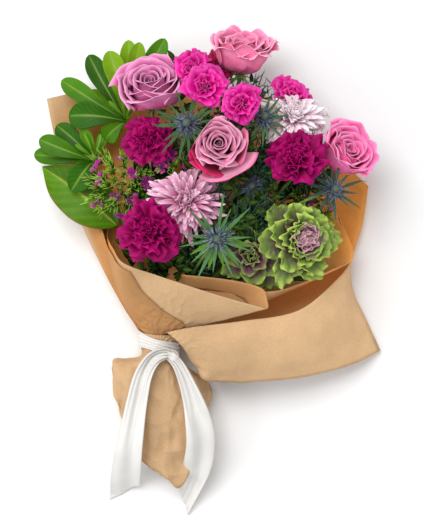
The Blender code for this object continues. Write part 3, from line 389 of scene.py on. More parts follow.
# The paper's finish: fine fibres, clouds and a few dark specks over its tone.
kraft, tree, shader, tone = toned_material("kraft_paper", 0.78)
shader.inputs["Specular IOR Level"].default_value = 0.25
coordinates = tree.nodes.new("ShaderNodeTexCoord").outputs["Object"]
fibres = noise(tree, coordinates, 900, 4, 0.7)
clouds = noise(tree, coordinates, 30, 3)
specks = ramp(tree, noise(tree, coordinates, 620, 2, 0.6), ((0.0, 1), (0.31, 1), (0.38, 0)))
shaded = mix(tree, "MULTIPLY", tone, ramp(tree, fibres, ((0.25, 0.74), (0.7, 1.08))), 0.8)
shaded = mix(tree, "MULTIPLY", shaded, ramp(tree, clouds, ((0.3, 0.88), (0.7, 1.05))), 0.9)
shaded = mix(tree, "MULTIPLY", shaded, (0.80, 0.68, 0.52), math_node(tree, "MULTIPLY", specks, 0.45))
tree.links.new(shaded, shader.inputs["Base Color"])

# Where the paper is crushed, which is below -105 mm and left of 35 mm, it is covered in facets: the cells
# of a pattern whose height is the distance from each cell's own middle.
apart = tree.nodes.new("ShaderNodeSeparateXYZ")
tree.links.new(coordinates, apart.inputs[0])
below = math_node(tree, "MULTIPLY", math_node(tree, "SUBTRACT", -0.105, apart.outputs[1]), 22.0)
leftward = math_node(tree, "MULTIPLY", math_node(tree, "SUBTRACT", 0.035, apart.outputs[0]), 30.0)
crushed = clamped(tree, math_node(tree, "MINIMUM", below, leftward))
cells = tree.nodes.new("ShaderNodeTexVoronoi")
cells.inputs["Scale"].default_value = 34
tree.links.new(coordinates, cells.inputs["Vector"])
facets = math_node(tree, "MULTIPLY", cells.outputs["Distance"], crushed)

# Pleats run out from the gather: a wave of the direction from its middle, which dies out 80 mm away.
gather = ((WAIST - MIDDLE) * MM).tolist()
sideways = math_node(tree, "SUBTRACT", apart.outputs[0], gather[0])
onward = math_node(tree, "SUBTRACT", apart.outputs[1], gather[1])
squares = math_node(tree, "MULTIPLY_ADD", sideways, sideways, math_node(tree, "MULTIPLY", onward, onward))
short_of = math_node(tree, "SUBTRACT", 0.080, math_node(tree, "SQRT", squares))
near = clamped(tree, math_node(tree, "MULTIPLY", short_of, 20.0))
bearing = math_node(tree, "MULTIPLY_ADD", clouds, 1.5, math_node(tree, "ARCTAN2", onward, sideways))
wave = math_node(tree, "SINE", math_node(tree, "MULTIPLY", bearing, 19.0))
pleats = math_node(tree, "MULTIPLY", wave, near)
relief = math_node(tree, "MULTIPLY_ADD", pleats, 7.0, fibres)
relief = math_node(tree, "MULTIPLY_ADD", facets, 110.0, relief)
bump(tree, shader, relief, 0.45, 0.00018)

# The outer sheet is a grid of points, smoothed: rows of skirt, three of gather and five of fan over its
# back, a collar that closes the skirt over the front, and the folded wing.
SLEEVE_STEPS = 7
SHARP_CORNERS = (8, 13)
SKIRT_ROWS = 4
turns = [edge[0] for edge in OUTER_EDGE]
gap = (turns[0] + 360 - turns[-1]) / (COLLAR_COLUMNS + 1)
turns += [turns[-1] + gap * (k + 1) for k in range(COLLAR_COLUMNS)]
sleeve = [[skirt_point(turn, column, 1 - row / SKIRT_ROWS) for column, turn in enumerate(turns)]
          for row in range(SKIRT_ROWS)]
for offset in (-STRAIGHT, 0, STRAIGHT):
    sleeve.append([gather_point(offset, OUTER_RADIUS, turn) for turn in turns])
sleeve = np.array(sleeve)
fan = np.array([[fan_point(edge, share) for edge in OUTER_EDGE] for share in FAN_SHARES])
back_columns = len(OUTER_EDGE)
back = np.concatenate([sleeve[:, :back_columns], fan])
back = smooth_both_ways(back, SLEEVE_STEPS, SHARP_CORNERS)
collar = np.concatenate([sleeve[:, back_columns - 1:], sleeve[:, :1]], axis=1)
collar = smooth_both_ways(collar, SLEEVE_STEPS)
collar[:, 0], collar[:, -1] = back[: len(collar), -1], back[: len(collar), 0]
wing = np.concatenate([fan[-1:, FOLD_COLUMN: FOLD_COLUMN + 4], np.array(FOLDED_PART, float)])
wing = smooth_both_ways(wing, SLEEVE_STEPS)
wing[0] = back[-1, FOLD_COLUMN * SLEEVE_STEPS: (FOLD_COLUMN + 3) * SLEEVE_STEPS + 1]
outer = Sheets()
outer.add(back, lit_through(back))
outer.add(collar, TAN * rightward(collar, 0.3))
outer.add(wing, TAN * rightward(wing, 0.3))
outer.object("outer_wrap", kraft, "outer_paper", "kraft", thickness=0.35, crumple=paper_creases)

# The inner cone's mouth, from the corner that is tucked inside, round the right, the back and the left to
# the tip of the front flap: degrees round the bundle, the point, and how far the paper bellies out.
INNER_MOUTH = (
    (105, (-44, 3, 82), 2), (85, (-9, -17, 88), 2), (62, (40, -27, 91), 3), (50, (76, -28, 90), 5),
    (38, (110, -18, 86), 7), (26, (142, -4, 76), 9), (14, (168, 9, 58), 10), (0, (163, 38, 34), 9),
    (-18, (147, 70, 16), 7), (-38, (118, 106, 7), 5), (-58, (74, 130, 4), 3), (-78, (22, 138, 4), 3),
    (-98, (-30, 136, 4), 3), (-118, (-72, 112, 6), 4), (-138, (-98, 84, 14), 6), (-158, (-112, 58, 28), 8),
    (-178, (-118, 38, 50), 9), (-198, (-109, 20, 80), 9), (-220, (-96, 4, 106), 7), (-240, (-60, -9, 114), 5),
    (-256, (-24, -21, 117), 4), (-268, (14, -33, 118), 3), (-278, (42, -41, 116), 2),
    (-286, (66, -48, 112), 0),
)
INNER_SHARES = np.array((0.16, 0.36, 0.58, 0.8, 1.0))  # where its rows lie from the gather to the mouth
INNER_RADII = (18.2, 19.9)  # its radius at the gather, at its tucked corner and at its flap's tip
INNER_SKIRT = 24.0  # how far it runs on below the ribbon
FLAP_TURN = (  # the flap's columns from the fold to its free edge, two points to each
    ((67, -37, 106), (46, -46, 93)), ((60, -24, 102), (38, -36, 88)),
    ((24, -15, 101), (8, -28, 87)), ((-30, -9, 99), (-30, -24, 87)),
)


def cone_column(turn, mouth, belly, radius):
    """One line of the cone, from its skirt through the gather to its mouth."""
    gathered = [gather_point(offset, radius, turn) for offset in (-INNER_SKIRT, 0, STRAIGHT)]
    start, end = gathered[-1], np.array(mouth, float)
    outward = unit(start - gather_point(STRAIGHT, 0, turn))
    share = INNER_SHARES[:, None]
    return [*gathered, *(start + (end - start) * share + outward * belly * 4 * share * (1 - share))]


mouth_turns = np.array([mouth[0] for mouth in INNER_MOUTH])
radii = np.interp(-mouth_turns, (-mouth_turns[0], -mouth_turns[-1]), INNER_RADII)
cone_columns = [cone_column(*mouth, radius) for mouth, radius in zip(INNER_MOUTH, radii)]
cone_grid = np.array(cone_columns).swapaxes(0, 1)
cone_paper = smooth_both_ways(cone_grid, SLEEVE_STEPS)
flap = np.concatenate([cone_grid[-2:, -2:], np.array(FLAP_TURN, float)[:, ::-1].swapaxes(0, 1)], axis=1)
flap = smooth_both_ways(flap, SLEEVE_STEPS)[:, SLEEVE_STEPS:]
flap[:, 0] = cone_paper[-1 - SLEEVE_STEPS:, -1]
# Light comes through the cone's back and sides, and its front panel is lit from its face.
turned_away = np.clip((228 + smooth(mouth_turns, SLEEVE_STEPS)) / 40, 0, 1)[None, :, None]
through = turned_away * np.clip((cone_paper[..., 1:2] + 70) / 90, 0.2, 1)
inner = Sheets()
inner.add(cone_paper, (TAN + (AMBER - TAN) * through) * rightward(cone_paper, 0.45))
# The turned-back flap is painted amber-brown: painted light coming through the paper, and painted shade
# inside the pocket behind it.
inner.add(flap, 0.45 * TAN + 0.5 * AMBER)
inner.object("inner_wrap", kraft, "inner_paper", "kraft", thickness=0.35,
             crumple=lambda places: 0.4 * paper_creases(places))

# The left side of the outer sheet is drawn up round the cone and ends in a slanting edge over its front. It
# is the same kraft paper, joined to the sheet along the fold at the left and held by the ribbon.
FLANK_RISE = ((-76, -57, -34, -9, 16, 38), (0, 1, 2, 3, 4, 5))  # where the fold is, and the cone's row there
FLANK_EDGE = ((0, 1.2, 1.86, 2.57, 3.43, 4.43, 5), (22.5, 22.3, 21.6, 19.6, 18.7, 18.4, 18.15))  # row, column
FLANK_START = 16.3  # the cone's column where the paper first touches it
FLANK_OFF = 2.0  # how far it stands off the cone


def over_cone(row, column, off):
    """A place off the cone's surface, between its rows and columns: each is the even blend of the four
    points round it, pushed out from the middle of its row."""
    rows, columns = (2 + row) * SLEEVE_STEPS, column * SLEEVE_STEPS
    low, left = np.minimum(rows.astype(int), len(cone_paper) - 2), columns.astype(int)
    down, right = (rows - low)[..., None], (columns - left)[..., None]
    place = ((cone_paper[low, left] * (1 - right) + cone_paper[low, left + 1] * right) * (1 - down)
             + (cone_paper[low + 1, left] * (1 - right) + cone_paper[low + 1, left + 1] * right) * down)
    return place + off * unit(place - cone_paper[low].mean(-2))


# From the fold, which is the sheet's left edge beside the cone, the side belly rises to where it touches
# the cone, and dies away onto the sheet past the cone's mouth. The front then lies on the cone.
fold = back[6 * SLEEVE_STEPS: 9 * SLEEVE_STEPS + 4, 0]
reached = fold[:, 1] <= FLANK_RISE[0][-1]
row = np.interp(fold[:, 1], *FLANK_RISE)
touch = over_cone(row, np.full(len(row), FLANK_START), FLANK_OFF)
past = np.clip(np.arange(len(fold)) - reached.sum() + 1, 0, None)
touch = touch + (fold - fold[reached.sum() - 1]) * (past > 0)[:, None]
touch[:, 2] += (fold[:, 2] + 1.5 - touch[:, 2]) * np.minimum(1, past / past.max())
share = np.linspace(0, 1, 7)[None, :, None]
belly = 14 * share * (1 - share) * np.array([-0.9, 0, 0.3])
side = fold[:, None] + (touch - fold)[:, None] * share + belly
across = np.linspace(0, 1, 13)[None]
rows = row[reached][:, None] + 0 * across
columns = FLANK_START + (np.interp(rows, *FLANK_EDGE) - FLANK_START) * across
front = over_cone(rows, columns, FLANK_OFF)
front[:, 0] = side[reached][:, -1]
# Its colour is painted light and shade: from plain tan at the fold it turns to a painted amber glow, for
# light coming through the paper, held darker by painted shade where it touches the cone. Over the front that
# painted shade lifts across the first half, and the tone darkens by up to three tenths towards its free edge.
painted_glow, painted_shade = 0.40 * TAN + 0.50 * AMBER, np.array([0.96, 0.86, 0.70])
across = across[..., None]
flank = Sheets()
flank.add(side, TAN + (painted_glow * painted_shade - TAN) * np.clip(share * 2.8 - 0.6, 0, 1))
flank.add(front, painted_glow * (painted_shade + (1 - painted_shade) * np.minimum(1, 2 * across)) * (1 - 0.30 * across**2))
flank.object("outer_wrap_left_flank", kraft, "outer_paper", "kraft", thickness=0.35,
             crumple=lambda places: 0.25 * paper_creases(places))

# ---------------------------------------------------------------- satin ribbon
# One length of white satin ribbon, 35 mm wide, wound once round the gathered paper in folds, knotted in
# front and hanging in two tails whose ends are cut on the slant.

RIBBON_HALF_WIDTH = 17.5
BAND_RADIUS = 23.6
KNOT = np.array([-42.0, -104.0, 55.0])
RIBBON_TAILS = (
    ((-40, -105, 57), (-50, -101, 62), (-64, -107, 66), (-75, -126, 66), (-82, -156, 64), (-88, -190, 61),
     (-93, -220, 53), (-97, -247, 31), (-99, -268, 2.6)),
    ((-42, -106, 58), (-33, -116, 62), (-22, -141, 64), (-13, -172, 61), (-9, -204, 54), (-13, -234, 37),
     (-21, -259, 14), (-30, -278, 2.6)),
)


def ribbon_band(a, t):
    """A ring round the gather, leaning along the bundle, whose radius waves across a in four folds that
    drift as they go round, so the cloth shows as gathered pleats."""
    angle = 2 * math.pi * t
    folds = np.cos(4.2 * math.pi * a + 1.6 * np.sin(angle) + 0.8 * np.sin(3 * angle))
    radius = (BAND_RADIUS + 1.3 * folds + 0.4 * np.sin(5 * angle))[..., None]
    lean = (-6.5 * np.cos(angle + 0.35) + a * (8.6 + 1.6 * np.sin(2 * angle + 1)))[..., None]
    outward = np.cos(angle)[..., None] * WAIST_RIGHT + np.sin(angle)[..., None] * WAIST_UP
    return WAIST + radius * outward + lean * WAIST_ALONG


def ribbon_tail(points, fold, twist, slant, opening):
    """A flat band carried along a smooth line, pleated at the knot and opening as the shares in opening say.
    It is lifted off the line by long folds, cosines across it that die out towards its end, and its end
    is slanted by moving each line of the weave on along the band."""
    line = smooth(np.array(points, float), 12)
    t, a = np.linspace(0, 1, len(line))[:, None], np.linspace(-1, 1, 33)[None]
    ahead = unit(np.gradient(line, axis=0))
    level = unit(np.cross(ahead, [0, 0, 1]))
    up = np.cross(level, ahead)
    tilt = np.radians(twist * np.sin(2.6 * math.pi * t))
    side = level * np.cos(tilt) + up * np.sin(tilt)
    up = np.cross(side, ahead)
    share = smooth(np.array(opening, float), 12)
    share = np.interp(t, np.linspace(0, 1, len(share)), share)
    width = RIBBON_HALF_WIDTH * share
    lift = fold * (1 - 0.72 * t) * np.minimum(1, 4 * t) * np.cos(math.pi * (1.35 * a + 0.5 + 1.1 * t))
    lift = lift + 4.2 * np.maximum(0, 0.92 - share) * np.cos(4.5 * math.pi * a + 1.5 * t)
    lift = lift + 0.9 * np.sin(3.5 * math.pi * t + 1.7 * a)
    last = np.maximum(t - 0.86, 0) / 0.14
    place = (line[:, None] + side[:, None] * (a * width)[..., None] + up[:, None] * lift[..., None]
             + ahead[:, None] * (slant * a * last**1.5)[..., None])
    place[..., 2] = np.maximum(place[..., 2], 0.9 + 0.4 * np.cos(9 * a + 5 * t))
    return place


def knot_shape(a, t):
    """An egg drawn out along the band, creased lengthways: its radius across waves six times round it."""
    angle, along = 2 * math.pi * t, math.pi * (a + 1) / 2
    way = unit(np.array([0.80, -0.60, 0.0]))
    across = np.cross([0, 0, 1], way)
    thick = np.sin(along) * (1 + 0.12 * np.cos(6 * angle + 3 * a))
    return (KNOT + (-9.6 * np.cos(along))[..., None] * way + (6.8 * thick * np.cos(angle))[..., None] * across
            + (6.2 * thick * np.sin(angle))[..., None] * np.array([0, 0, 1.0]))


WHITE = np.array([0.80, 0.785, 0.755])
grid_a, grid_t = np.meshgrid(np.linspace(-1, 1, 33), np.linspace(0, 1, 97))
cloth = Sheets()
cloth.add(ribbon_band(grid_a, grid_t), WHITE)
cloth.add(ribbon_tail(RIBBON_TAILS[0], 4.6, 12, 15, (0.30, 0.46, 0.56, 0.70, 0.86, 0.97, 1.0)), WHITE)
cloth.add(ribbon_tail(RIBBON_TAILS[1], 4.2, -16, -14, (0.30, 0.42, 0.66, 0.94, 0.98, 0.80, 0.78)), WHITE)
cloth.add(knot_shape(grid_a, grid_t), WHITE)

# Satin: a soft sheen, fine threads across it, a hem along both edges and a little shade in its folds.
satin, tree, shader, tone = toned_material("white_satin", 0.34)
shader.inputs["Sheen Weight"].default_value = 0.35
shader.inputs["Sheen Roughness"].default_value = 0.35
shader.inputs["Specular IOR Level"].default_value = 0.45
cut = tree.nodes.new("ShaderNodeUVMap")
cut.uv_map = "cut"
apart = tree.nodes.new("ShaderNodeSeparateXYZ")
tree.links.new(cut.outputs[0], apart.inputs[0])
place = tree.nodes.new("ShaderNodeTexCoord").outputs["Object"]
from_middle = math_node(tree, "ABSOLUTE", math_node(tree, "SUBTRACT", apart.outputs[0], 0.5))
hem = ramp(tree, from_middle, ((0.462, 0), (0.470, 1), (0.478, 1), (0.486, 0)))
threads = math_node(tree, "SINE", math_node(tree, "MULTIPLY", apart.outputs[1], 2600))
weft = math_node(tree, "MULTIPLY_ADD", threads, 0.5, 0.5)
folds = ramp(tree, noise(tree, place, 26, 2), ((0.3, 0.90), (0.7, 1.0)))
shade = mix(tree, "MULTIPLY", tone, folds, 1.0)
shade = mix(tree, "MULTIPLY", shade, (0.90, 0.86, 0.80), math_node(tree, "MULTIPLY", hem, 0.5))
tree.links.new(shade, shader.inputs["Base Color"])
bump(tree, shader, math_node(tree, "MULTIPLY_ADD", hem, 2.0, weft), 0.12, 0.0002)
ribbon = cloth.object("satin_ribbon", satin, "ribbon", "ribbon", 0.35, weld=True)

# ---------------------------------------------------------------- roses
# Four double roses in mauve and pink. Each is a spiral of soft petals, wrapped tight in the middle and
# opening to broad outer ones whose rims roll back, on a green cup with five sepals.


def axes_facing(facing, roll=0.0):
    """Local x, y and z axes as the columns of a matrix, z along facing, turned by roll degrees."""
    z = unit(facing)
    side = np.array([1.0, 0.0, 0.0]) if abs(z[0]) < 0.9 else np.array([0.0, 1.0, 0.0])
    x = unit(side - z * (side @ z))
    y = np.cross(z, x)
    cos, sin = math.cos(math.radians(roll)), math.sin(math.radians(roll))
    return np.column_stack([x * cos + y * sin, y * cos - x * sin, z])


class Head:
    """Where a bloom stands: the middle of what shows of it, the way it faces, its reach sideways, how far
    its middle is above its foot, and its roll."""

    def __init__(self, centre, facing, reach, depth, roll=0.0):
        self.centre, self.reach = np.array(centre, float), reach
        self.axes = axes_facing(facing, roll)
        self.base = self.centre - self.axes[:, 2] * depth

    def place(self, local):
        return self.base + np.asarray(local, float) @ self.axes.T

    def fit(self, local):
        """Local points put in place, then pressed back from the planes that part this head from its
        neighbours: about four fifths of whatever passes a plane is taken back along the line between the
        two. A plane stands where the two reaches share out the distance, 0.6 mm nearer to this head."""
        placed = self.place(local)
        for other in HEADS.values():
            between = other.centre - self.centre
            distance = np.linalg.norm(between)
            if other is self or distance > 1.25 * (self.reach + other.reach):
                continue
            normal = between / distance
            limit = distance * self.reach / (self.reach + other.reach) - 0.6
            over = np.maximum((placed - self.centre) @ normal - limit, 0)
            placed = placed - 0.82 * over[..., None] * normal
        return placed


HEADS = {
    "rose_left": Head((-65, 202, 112), (-0.05, 0.70, 0.70), 45, 22, 20),
    "rose_top": Head((39, 242, 96), (0.10, 0.90, 0.42), 43, 22, 75),
    "rose_centre": Head((12, 136, 150), (0.00, 0.15, 1.0), 38, 26, 10),
    "rose_right": Head((156, 130, 98), (0.58, 0.38, 0.70), 40, 22, 40),
    "carnation_left": Head((-64, 38, 130), (0.00, 0.10, 1.0), 41, 14, 0),
    "carnation_mid": Head((-67, 144, 114), (-0.20, 0.10, 0.97), 37, 14, 30),
    "carnation_right": Head((100, 122, 130), (-0.10, 0.40, 0.90), 38, 14, 60),
    "mini_1": Head((-3, 201, 144), (0.05, 0.00, 1.0), 27, 9, 0),
    "mini_2": Head((38, 181, 150), (0.10, 0.00, 1.0), 25, 9, 35),
    "mini_3": Head((-18, 224, 116), (-0.25, 0.45, 0.85), 24, 9, 80),
    "mini_4": Head((94, 196, 92), (0.40, 0.60, 0.70), 26, 9, 20),
    "mini_5": Head((12, 229, 78), (0.00, 0.40, 0.90), 21, 9, 50),
    "mum_left": Head((-25, 74, 114), (0.00, 0.05, 1.0), 50, 12, 0),
    "mum_right": Head((95, 169, 102), (0.30, 0.40, 0.85), 46, 12, 25),
    "kale_large": Head((107, 31, 118), (0.40, 0.06, 0.91), 51, 22, 0),
    "kale_small": Head((50, 12, 88), (-0.10, -0.10, 0.98), 34, 16, 40),
    "thistle_1": Head((-24, 161, 148), (-0.10, 0.15, 1.0), 39, 8, 0),
    "thistle_2": Head((64, 169, 136), (0.15, 0.25, 0.95), 33, 8, 30),
    "thistle_3": Head((10, 31, 152), (0.00, -0.05, 1.0), 47, 8, 12),
    "thistle_4": Head((144, 88, 120), (0.30, 0.10, 0.95), 37, 8, 50),
    "thistle_5": Head((50, 92, 112), (0.05, 0.00, 1.0), 32, 8, 20),
    "sweet_william_1": Head((-102, 95, 92), (-0.20, 0.05, 0.97), 42, 16, 0),
    "sweet_william_2": Head((-32, 115, 100), (0.0, 0.05, 1.0), 28, 14, 40),
    "sweet_william_3": Head((124, 80, 84), (0.20, 0.20, 0.95), 24, 14, 70),
}


def dye(red, green, blue):
    """A colour as mixed for the eye, from 0 to 255, made linear."""
    return (np.array([red, green, blue]) / 255) ** 2.2


def blend_tones(stops, share):
    """The tones in stops run into each other, evenly spaced, as share goes from 0 to 1."""
    stops, share = np.array(stops), np.clip(share, 0, 1) * (len(stops) - 1)
    below = np.minimum(share.astype(int), len(stops) - 2)
    return stops[below] + (stops[below + 1] - stops[below]) * (share - below)[..., None]


def turned(out, side, height, turn):
    """Puts a profile's out, side and height to a local place, turned by degrees round the head's own axis."""
    cos, sin = np.cos(np.radians(turn)), np.sin(np.radians(turn))
    return np.stack([out * cos - side * sin, out * sin + side * cos, height], -1)


PETAL_ROWS, PETAL_COLUMNS = 13, 17
GOLDEN_ANGLE = 137.5  # from one row of petals to the next, in degrees


def rose_petal(turn, half_angle, foot, belly, lip, height, roll, tuck, tip=0.0, ragged=0.0):
    """A petal of a rose in polar form. Along t, from foot to rim, its radius swells as a quarter sine from
    foot to belly and then leans to lip; the height is a straight share of t. Across a, the petal reaches
    half_angle either way, narrow at its foot, and its rim falls away at the corners as a to the power
    2.6. The last fifth rolls outwards on a circle of radius roll, further at the sides than at the tip,
    and ragged is the height of the waves along the rim. The rows stand closer towards the rim."""
    t = 1 - (1 - np.linspace(0, 1, PETAL_ROWS)[:, None]) ** 1.5
    a = np.linspace(-1, 1, PETAL_COLUMNS)[None]
    body = np.minimum(t / 0.8, 1)
    rim = np.maximum(t - 0.8, 0) / 0.2
    radius = foot + (belly - foot) * np.sin(math.pi / 2 * np.minimum(1, body / 0.6))
    radius = radius + (lip - belly) * np.maximum(body - 0.6, 0) / 0.4
    radius = radius * (1 + tuck * a)
    top = height * (1 - 0.20 * np.abs(a) ** 2.6) + tip * (1 - np.abs(a)) ** 1.5
    top = top + 0.4 * roll * np.sin(3.1 * a + turn)
    top = top + ragged * np.sin(7.3 * a + 3 * turn) * body**2
    wrap = 1.1 + 1.1 * np.abs(a)
    radius = radius + roll * (1 - np.cos(wrap * rim)) + 0.7 * ragged * np.cos(8.1 * a + turn) * rim
    up = top * body + roll * np.sin(wrap * rim)
    across = np.radians(turn + half_angle * a * (0.5 + 0.5 * np.minimum(1, t / 0.55) ** 0.8))
    return np.stack([radius * np.cos(across), radius * np.sin(across), np.broadcast_to(up, radius.shape)], -1)


# Each row of petals: how many, half angle, radius at foot, belly and lip, height, roll of the rim, tuck, tip.
ROSE_ROWS = (
    (2, 130, 1.2, 3.4, 1.6, 35, 0.7, 0.30, 0), (3, 100, 1.8, 6.4, 4.4, 36.5, 1.3, 0.24, 0.5),
    (3, 84, 2.4, 10.4, 8.0, 38, 2.0, 0.20, 1), (4, 66, 2.8, 14.4, 12.2, 39, 2.7, 0.16, 1.5),
    (4, 62, 3.2, 18.6, 17.4, 39, 3.4, 0.13, 2.5), (4, 62, 3.6, 22.0, 22.8, 38, 4.2, 0.11, 3.5),
    (5, 52, 3.9, 24.4, 28.0, 36.5, 5.0, 0.08, 5),
)
ROSE_REACH = 38  # the reach that the rows are drawn for


def rose(name, deep, body, edge, seed, openness=1.0, tall=1.0, fall=0.0, ragged=0.0, extra=()):
    """Row after row of petals, each row turned by the golden angle and each petal a little different. By fall
    the rims of the outer rows stand lower than the middle's."""
    head, draw = HEADS[name], np.random.default_rng(seed)
    size = head.reach / ROSE_REACH
    sheets, step = Sheets(), 0
    for row, (count, half_angle, foot, belly, lip, height, roll, tuck, tip) in enumerate(ROSE_ROWS):
        outward = row / (len(ROSE_ROWS) - 1)
        for k in range(count):
            turn = GOLDEN_ANGLE * row + 360 * k / count + draw.uniform(-12, 12)
            spread = (1 + (openness - 1) * outward) * draw.uniform(0.96, 1.05)
            wide = half_angle * draw.uniform(0.92, 1.08)
            high = (tall * height - fall * outward**2) * draw.uniform(0.94, 1.05)
            rolled, tucked = roll * draw.uniform(0.7, 1.3), tuck * draw.uniform(0.8, 1.2)
            petal = rose_petal(turn, wide, foot, belly * spread, lip * spread, high, rolled, tucked, tip,
                               ragged * outward)
            petal = petal + 0.15 * row * waves(petal, 17, seed * 31 + step)[..., None]
            share = np.linspace(0, 1, petal.shape[0])[:, None] ** 1.2 + 0.06 * waves(petal, 9, step)
            tone = blend_tones((deep * 0.8, deep, body, body * 1.02, edge), share)
            sheets.add(head.fit(petal * size), tone * (0.90 + 0.035 * row))
            step += 1
    for petal, tone in extra:
        sheets.add(head.fit(petal * size), tone)
    return sheets


def petal_skin(name, roughness, vein_scale, vein_strength, sheen, relief=0.35, shine=0.3):
    """Petal tissue: its tones come from the mesh, with fine veins along the petal and a soft mottle."""
    material, tree, shader, tone = toned_material(name, roughness)
    shader.inputs["Sheen Weight"].default_value = sheen
    shader.inputs["Sheen Roughness"].default_value = 0.5
    shader.inputs["Specular IOR Level"].default_value = shine
    veins = tree.nodes.new("ShaderNodeGroup")
    veins.node_tree = petal_veins()
    veins.inputs["Lines"].default_value = vein_scale
    veins.inputs["Depth"].default_value = vein_strength
    tree.links.new(tone, veins.inputs["Tone"])
    tree.links.new(veins.outputs["Tone"], shader.inputs["Base Color"])
    bump(tree, shader, veins.outputs["Height"], relief, 0.0004)
    return material


def petal_veins():
    """The group that every petal and leaf shares: fine wavering lines along the length, from the cut's own
    across and along, darken the tone by Depth, and a cloudy mottle lies over them."""
    group = bpy.data.node_groups.get("veins_along")
    if group:
        return group
    group = bpy.data.node_groups.new("veins_along", "ShaderNodeTree")
    for name, kind, way in (("Tone", "NodeSocketColor", "INPUT"), ("Lines", "NodeSocketFloat", "INPUT"),
                            ("Depth", "NodeSocketFloat", "INPUT"), ("Tone", "NodeSocketColor", "OUTPUT"),
                            ("Height", "NodeSocketFloat", "OUTPUT")):
        group.interface.new_socket(name=name, in_out=way, socket_type=kind)
    given, result = group.nodes.new("NodeGroupInput"), group.nodes.new("NodeGroupOutput")
    cut = group.nodes.new("ShaderNodeUVMap")
    cut.uv_map = "cut"
    apart = group.nodes.new("ShaderNodeSeparateXYZ")
    group.links.new(cut.outputs[0], apart.inputs[0])
    place = group.nodes.new("ShaderNodeTexCoord").outputs["Object"]
    waver = noise(group, place, 160, 2)
    sideways = math_node(group, "MULTIPLY_ADD", apart.outputs[0], given.outputs["Lines"],
                         math_node(group, "MULTIPLY", waver, 2.2))
    wave = math_node(group, "SINE", math_node(group, "MULTIPLY", sideways, 6.283))
    line = math_node(group, "MULTIPLY_ADD", wave, 0.5, 0.5)
    share = math_node(group, "MULTIPLY", line, given.outputs["Depth"])
    dark = mix(group, "MULTIPLY", given.outputs["Tone"], given.outputs["Tone"], 0.55)
    toned = mix(group, "MIX", given.outputs["Tone"], dark, share)
    mottle = ramp(group, noise(group, place, 95, 3), ((0.3, 0.88), (0.7, 1.06)))
    group.links.new(mix(group, "MULTIPLY", toned, mottle, 0.8), result.inputs["Tone"])
    group.links.new(line, result.inputs["Height"])
    return group


rose_skin = petal_skin("rose_petals", 0.6, 30, 0.30, 0.1)

MAUVE_DEEP, MAUVE, MAUVE_EDGE = dye(208, 86, 142), dye(210, 116, 168), dye(232, 172, 208)
PINK_DEEP, PINK, PINK_EDGE = dye(236, 112, 160), dye(238, 132, 174), dye(246, 182, 210)
GREY_DEEP, GREY_MAUVE, GREY_EDGE = dye(168, 52, 100), dye(206, 118, 154), dye(232, 172, 198)
CRIMSON, BLUSH = dye(214, 34, 104), dye(236, 168, 196)

# The middle rose is half open: three crimson petals stand at its left, a hot pink one at its right, a
# fourth crimson one lies lower at its left, and a broad pale one has folded down at its foot.
along = np.linspace(0, 1, PETAL_ROWS)[:, None] + np.zeros(PETAL_COLUMNS)
crimson = blend_tones((CRIMSON * 0.5, CRIMSON * 0.9, CRIMSON, CRIMSON * 1.1), along)
pale = blend_tones((PINK_DEEP, BLUSH, BLUSH * 1.05, BLUSH * 1.05, dye(232, 96, 156)), along)
hot = blend_tones((CRIMSON, PINK_DEEP, PINK), along)
loose_petals = [(rose_petal(turn, 42, 4, 26, 30, 31, 3.6, 0.05, 3, 0.6), crimson) for turn in (120, 158, 200)]
loose_petals += [(rose_petal(345, 40, 4, 26, 30, 31, 3.4, 0.05, 3, 0.6), hot)]
loose_petals += [(rose_petal(236, 36, 4, 27, 33, 27, 3.6, 0.0, 4, 0.6), crimson)]
loose_petals += [(rose_petal(284, 56, 4, 28, 38, 25, 5.0, 0.0, 4, 0.8), pale)]

# Each rose: its deep, body and edge tones, seed, openness, how tall, how far it falls, and how ragged.
ROSES = {
    "rose_left": (MAUVE_DEEP, MAUVE, MAUVE_EDGE, 1, 1.02, 0.84, 6, 0.7),
    "rose_top": (PINK_DEEP, PINK, PINK_EDGE, 2, 1.04, 0.84, 2, 2.4),
    "rose_right": (dye(236, 84, 154), dye(246, 116, 180), dye(248, 176, 216), 4, 1.0, 0.84, 2, 1.6),
    "rose_centre": (GREY_DEEP, GREY_MAUVE, GREY_EDGE, 3, 0.82, 1.0, 1, 0.4, loose_petals),
}
for name, look in ROSES.items():
    rose(name, *look).object(name + "_petals", rose_skin, name, "rose", 0.35)

# ---------------------------------------------------------------- carnations
# Three full carnations in deep magenta and five small spray ones in hot pink with paler toothed rims.
# A carnation is a dome of fan petals, each crumpled more and more towards its rim, out of a green tube.


def on_arc(u, v, lift, foot, length, start_rise, end_rise, base):
    """Bends a flat petal onto an arc: u runs along it from 0 to 1, v is its place across in millimetres and
    lift its height off the arc. The rise of the arc goes evenly from start_rise to end_rise degrees, so
    its out and up are the integrals of a cosine and a sine of it. Gives out, side and height."""
    first, bend = math.radians(start_rise), math.radians(end_rise - start_rise)
    bend = bend if abs(bend) > 0.01 else 0.01
    rise = first + bend * u
    out = foot + length * (np.sin(rise) - math.sin(first)) / bend
    up = base - length * (np.cos(rise) - math.cos(first)) / bend
    return out - lift * np.sin(rise), v, up + lift * np.cos(rise)


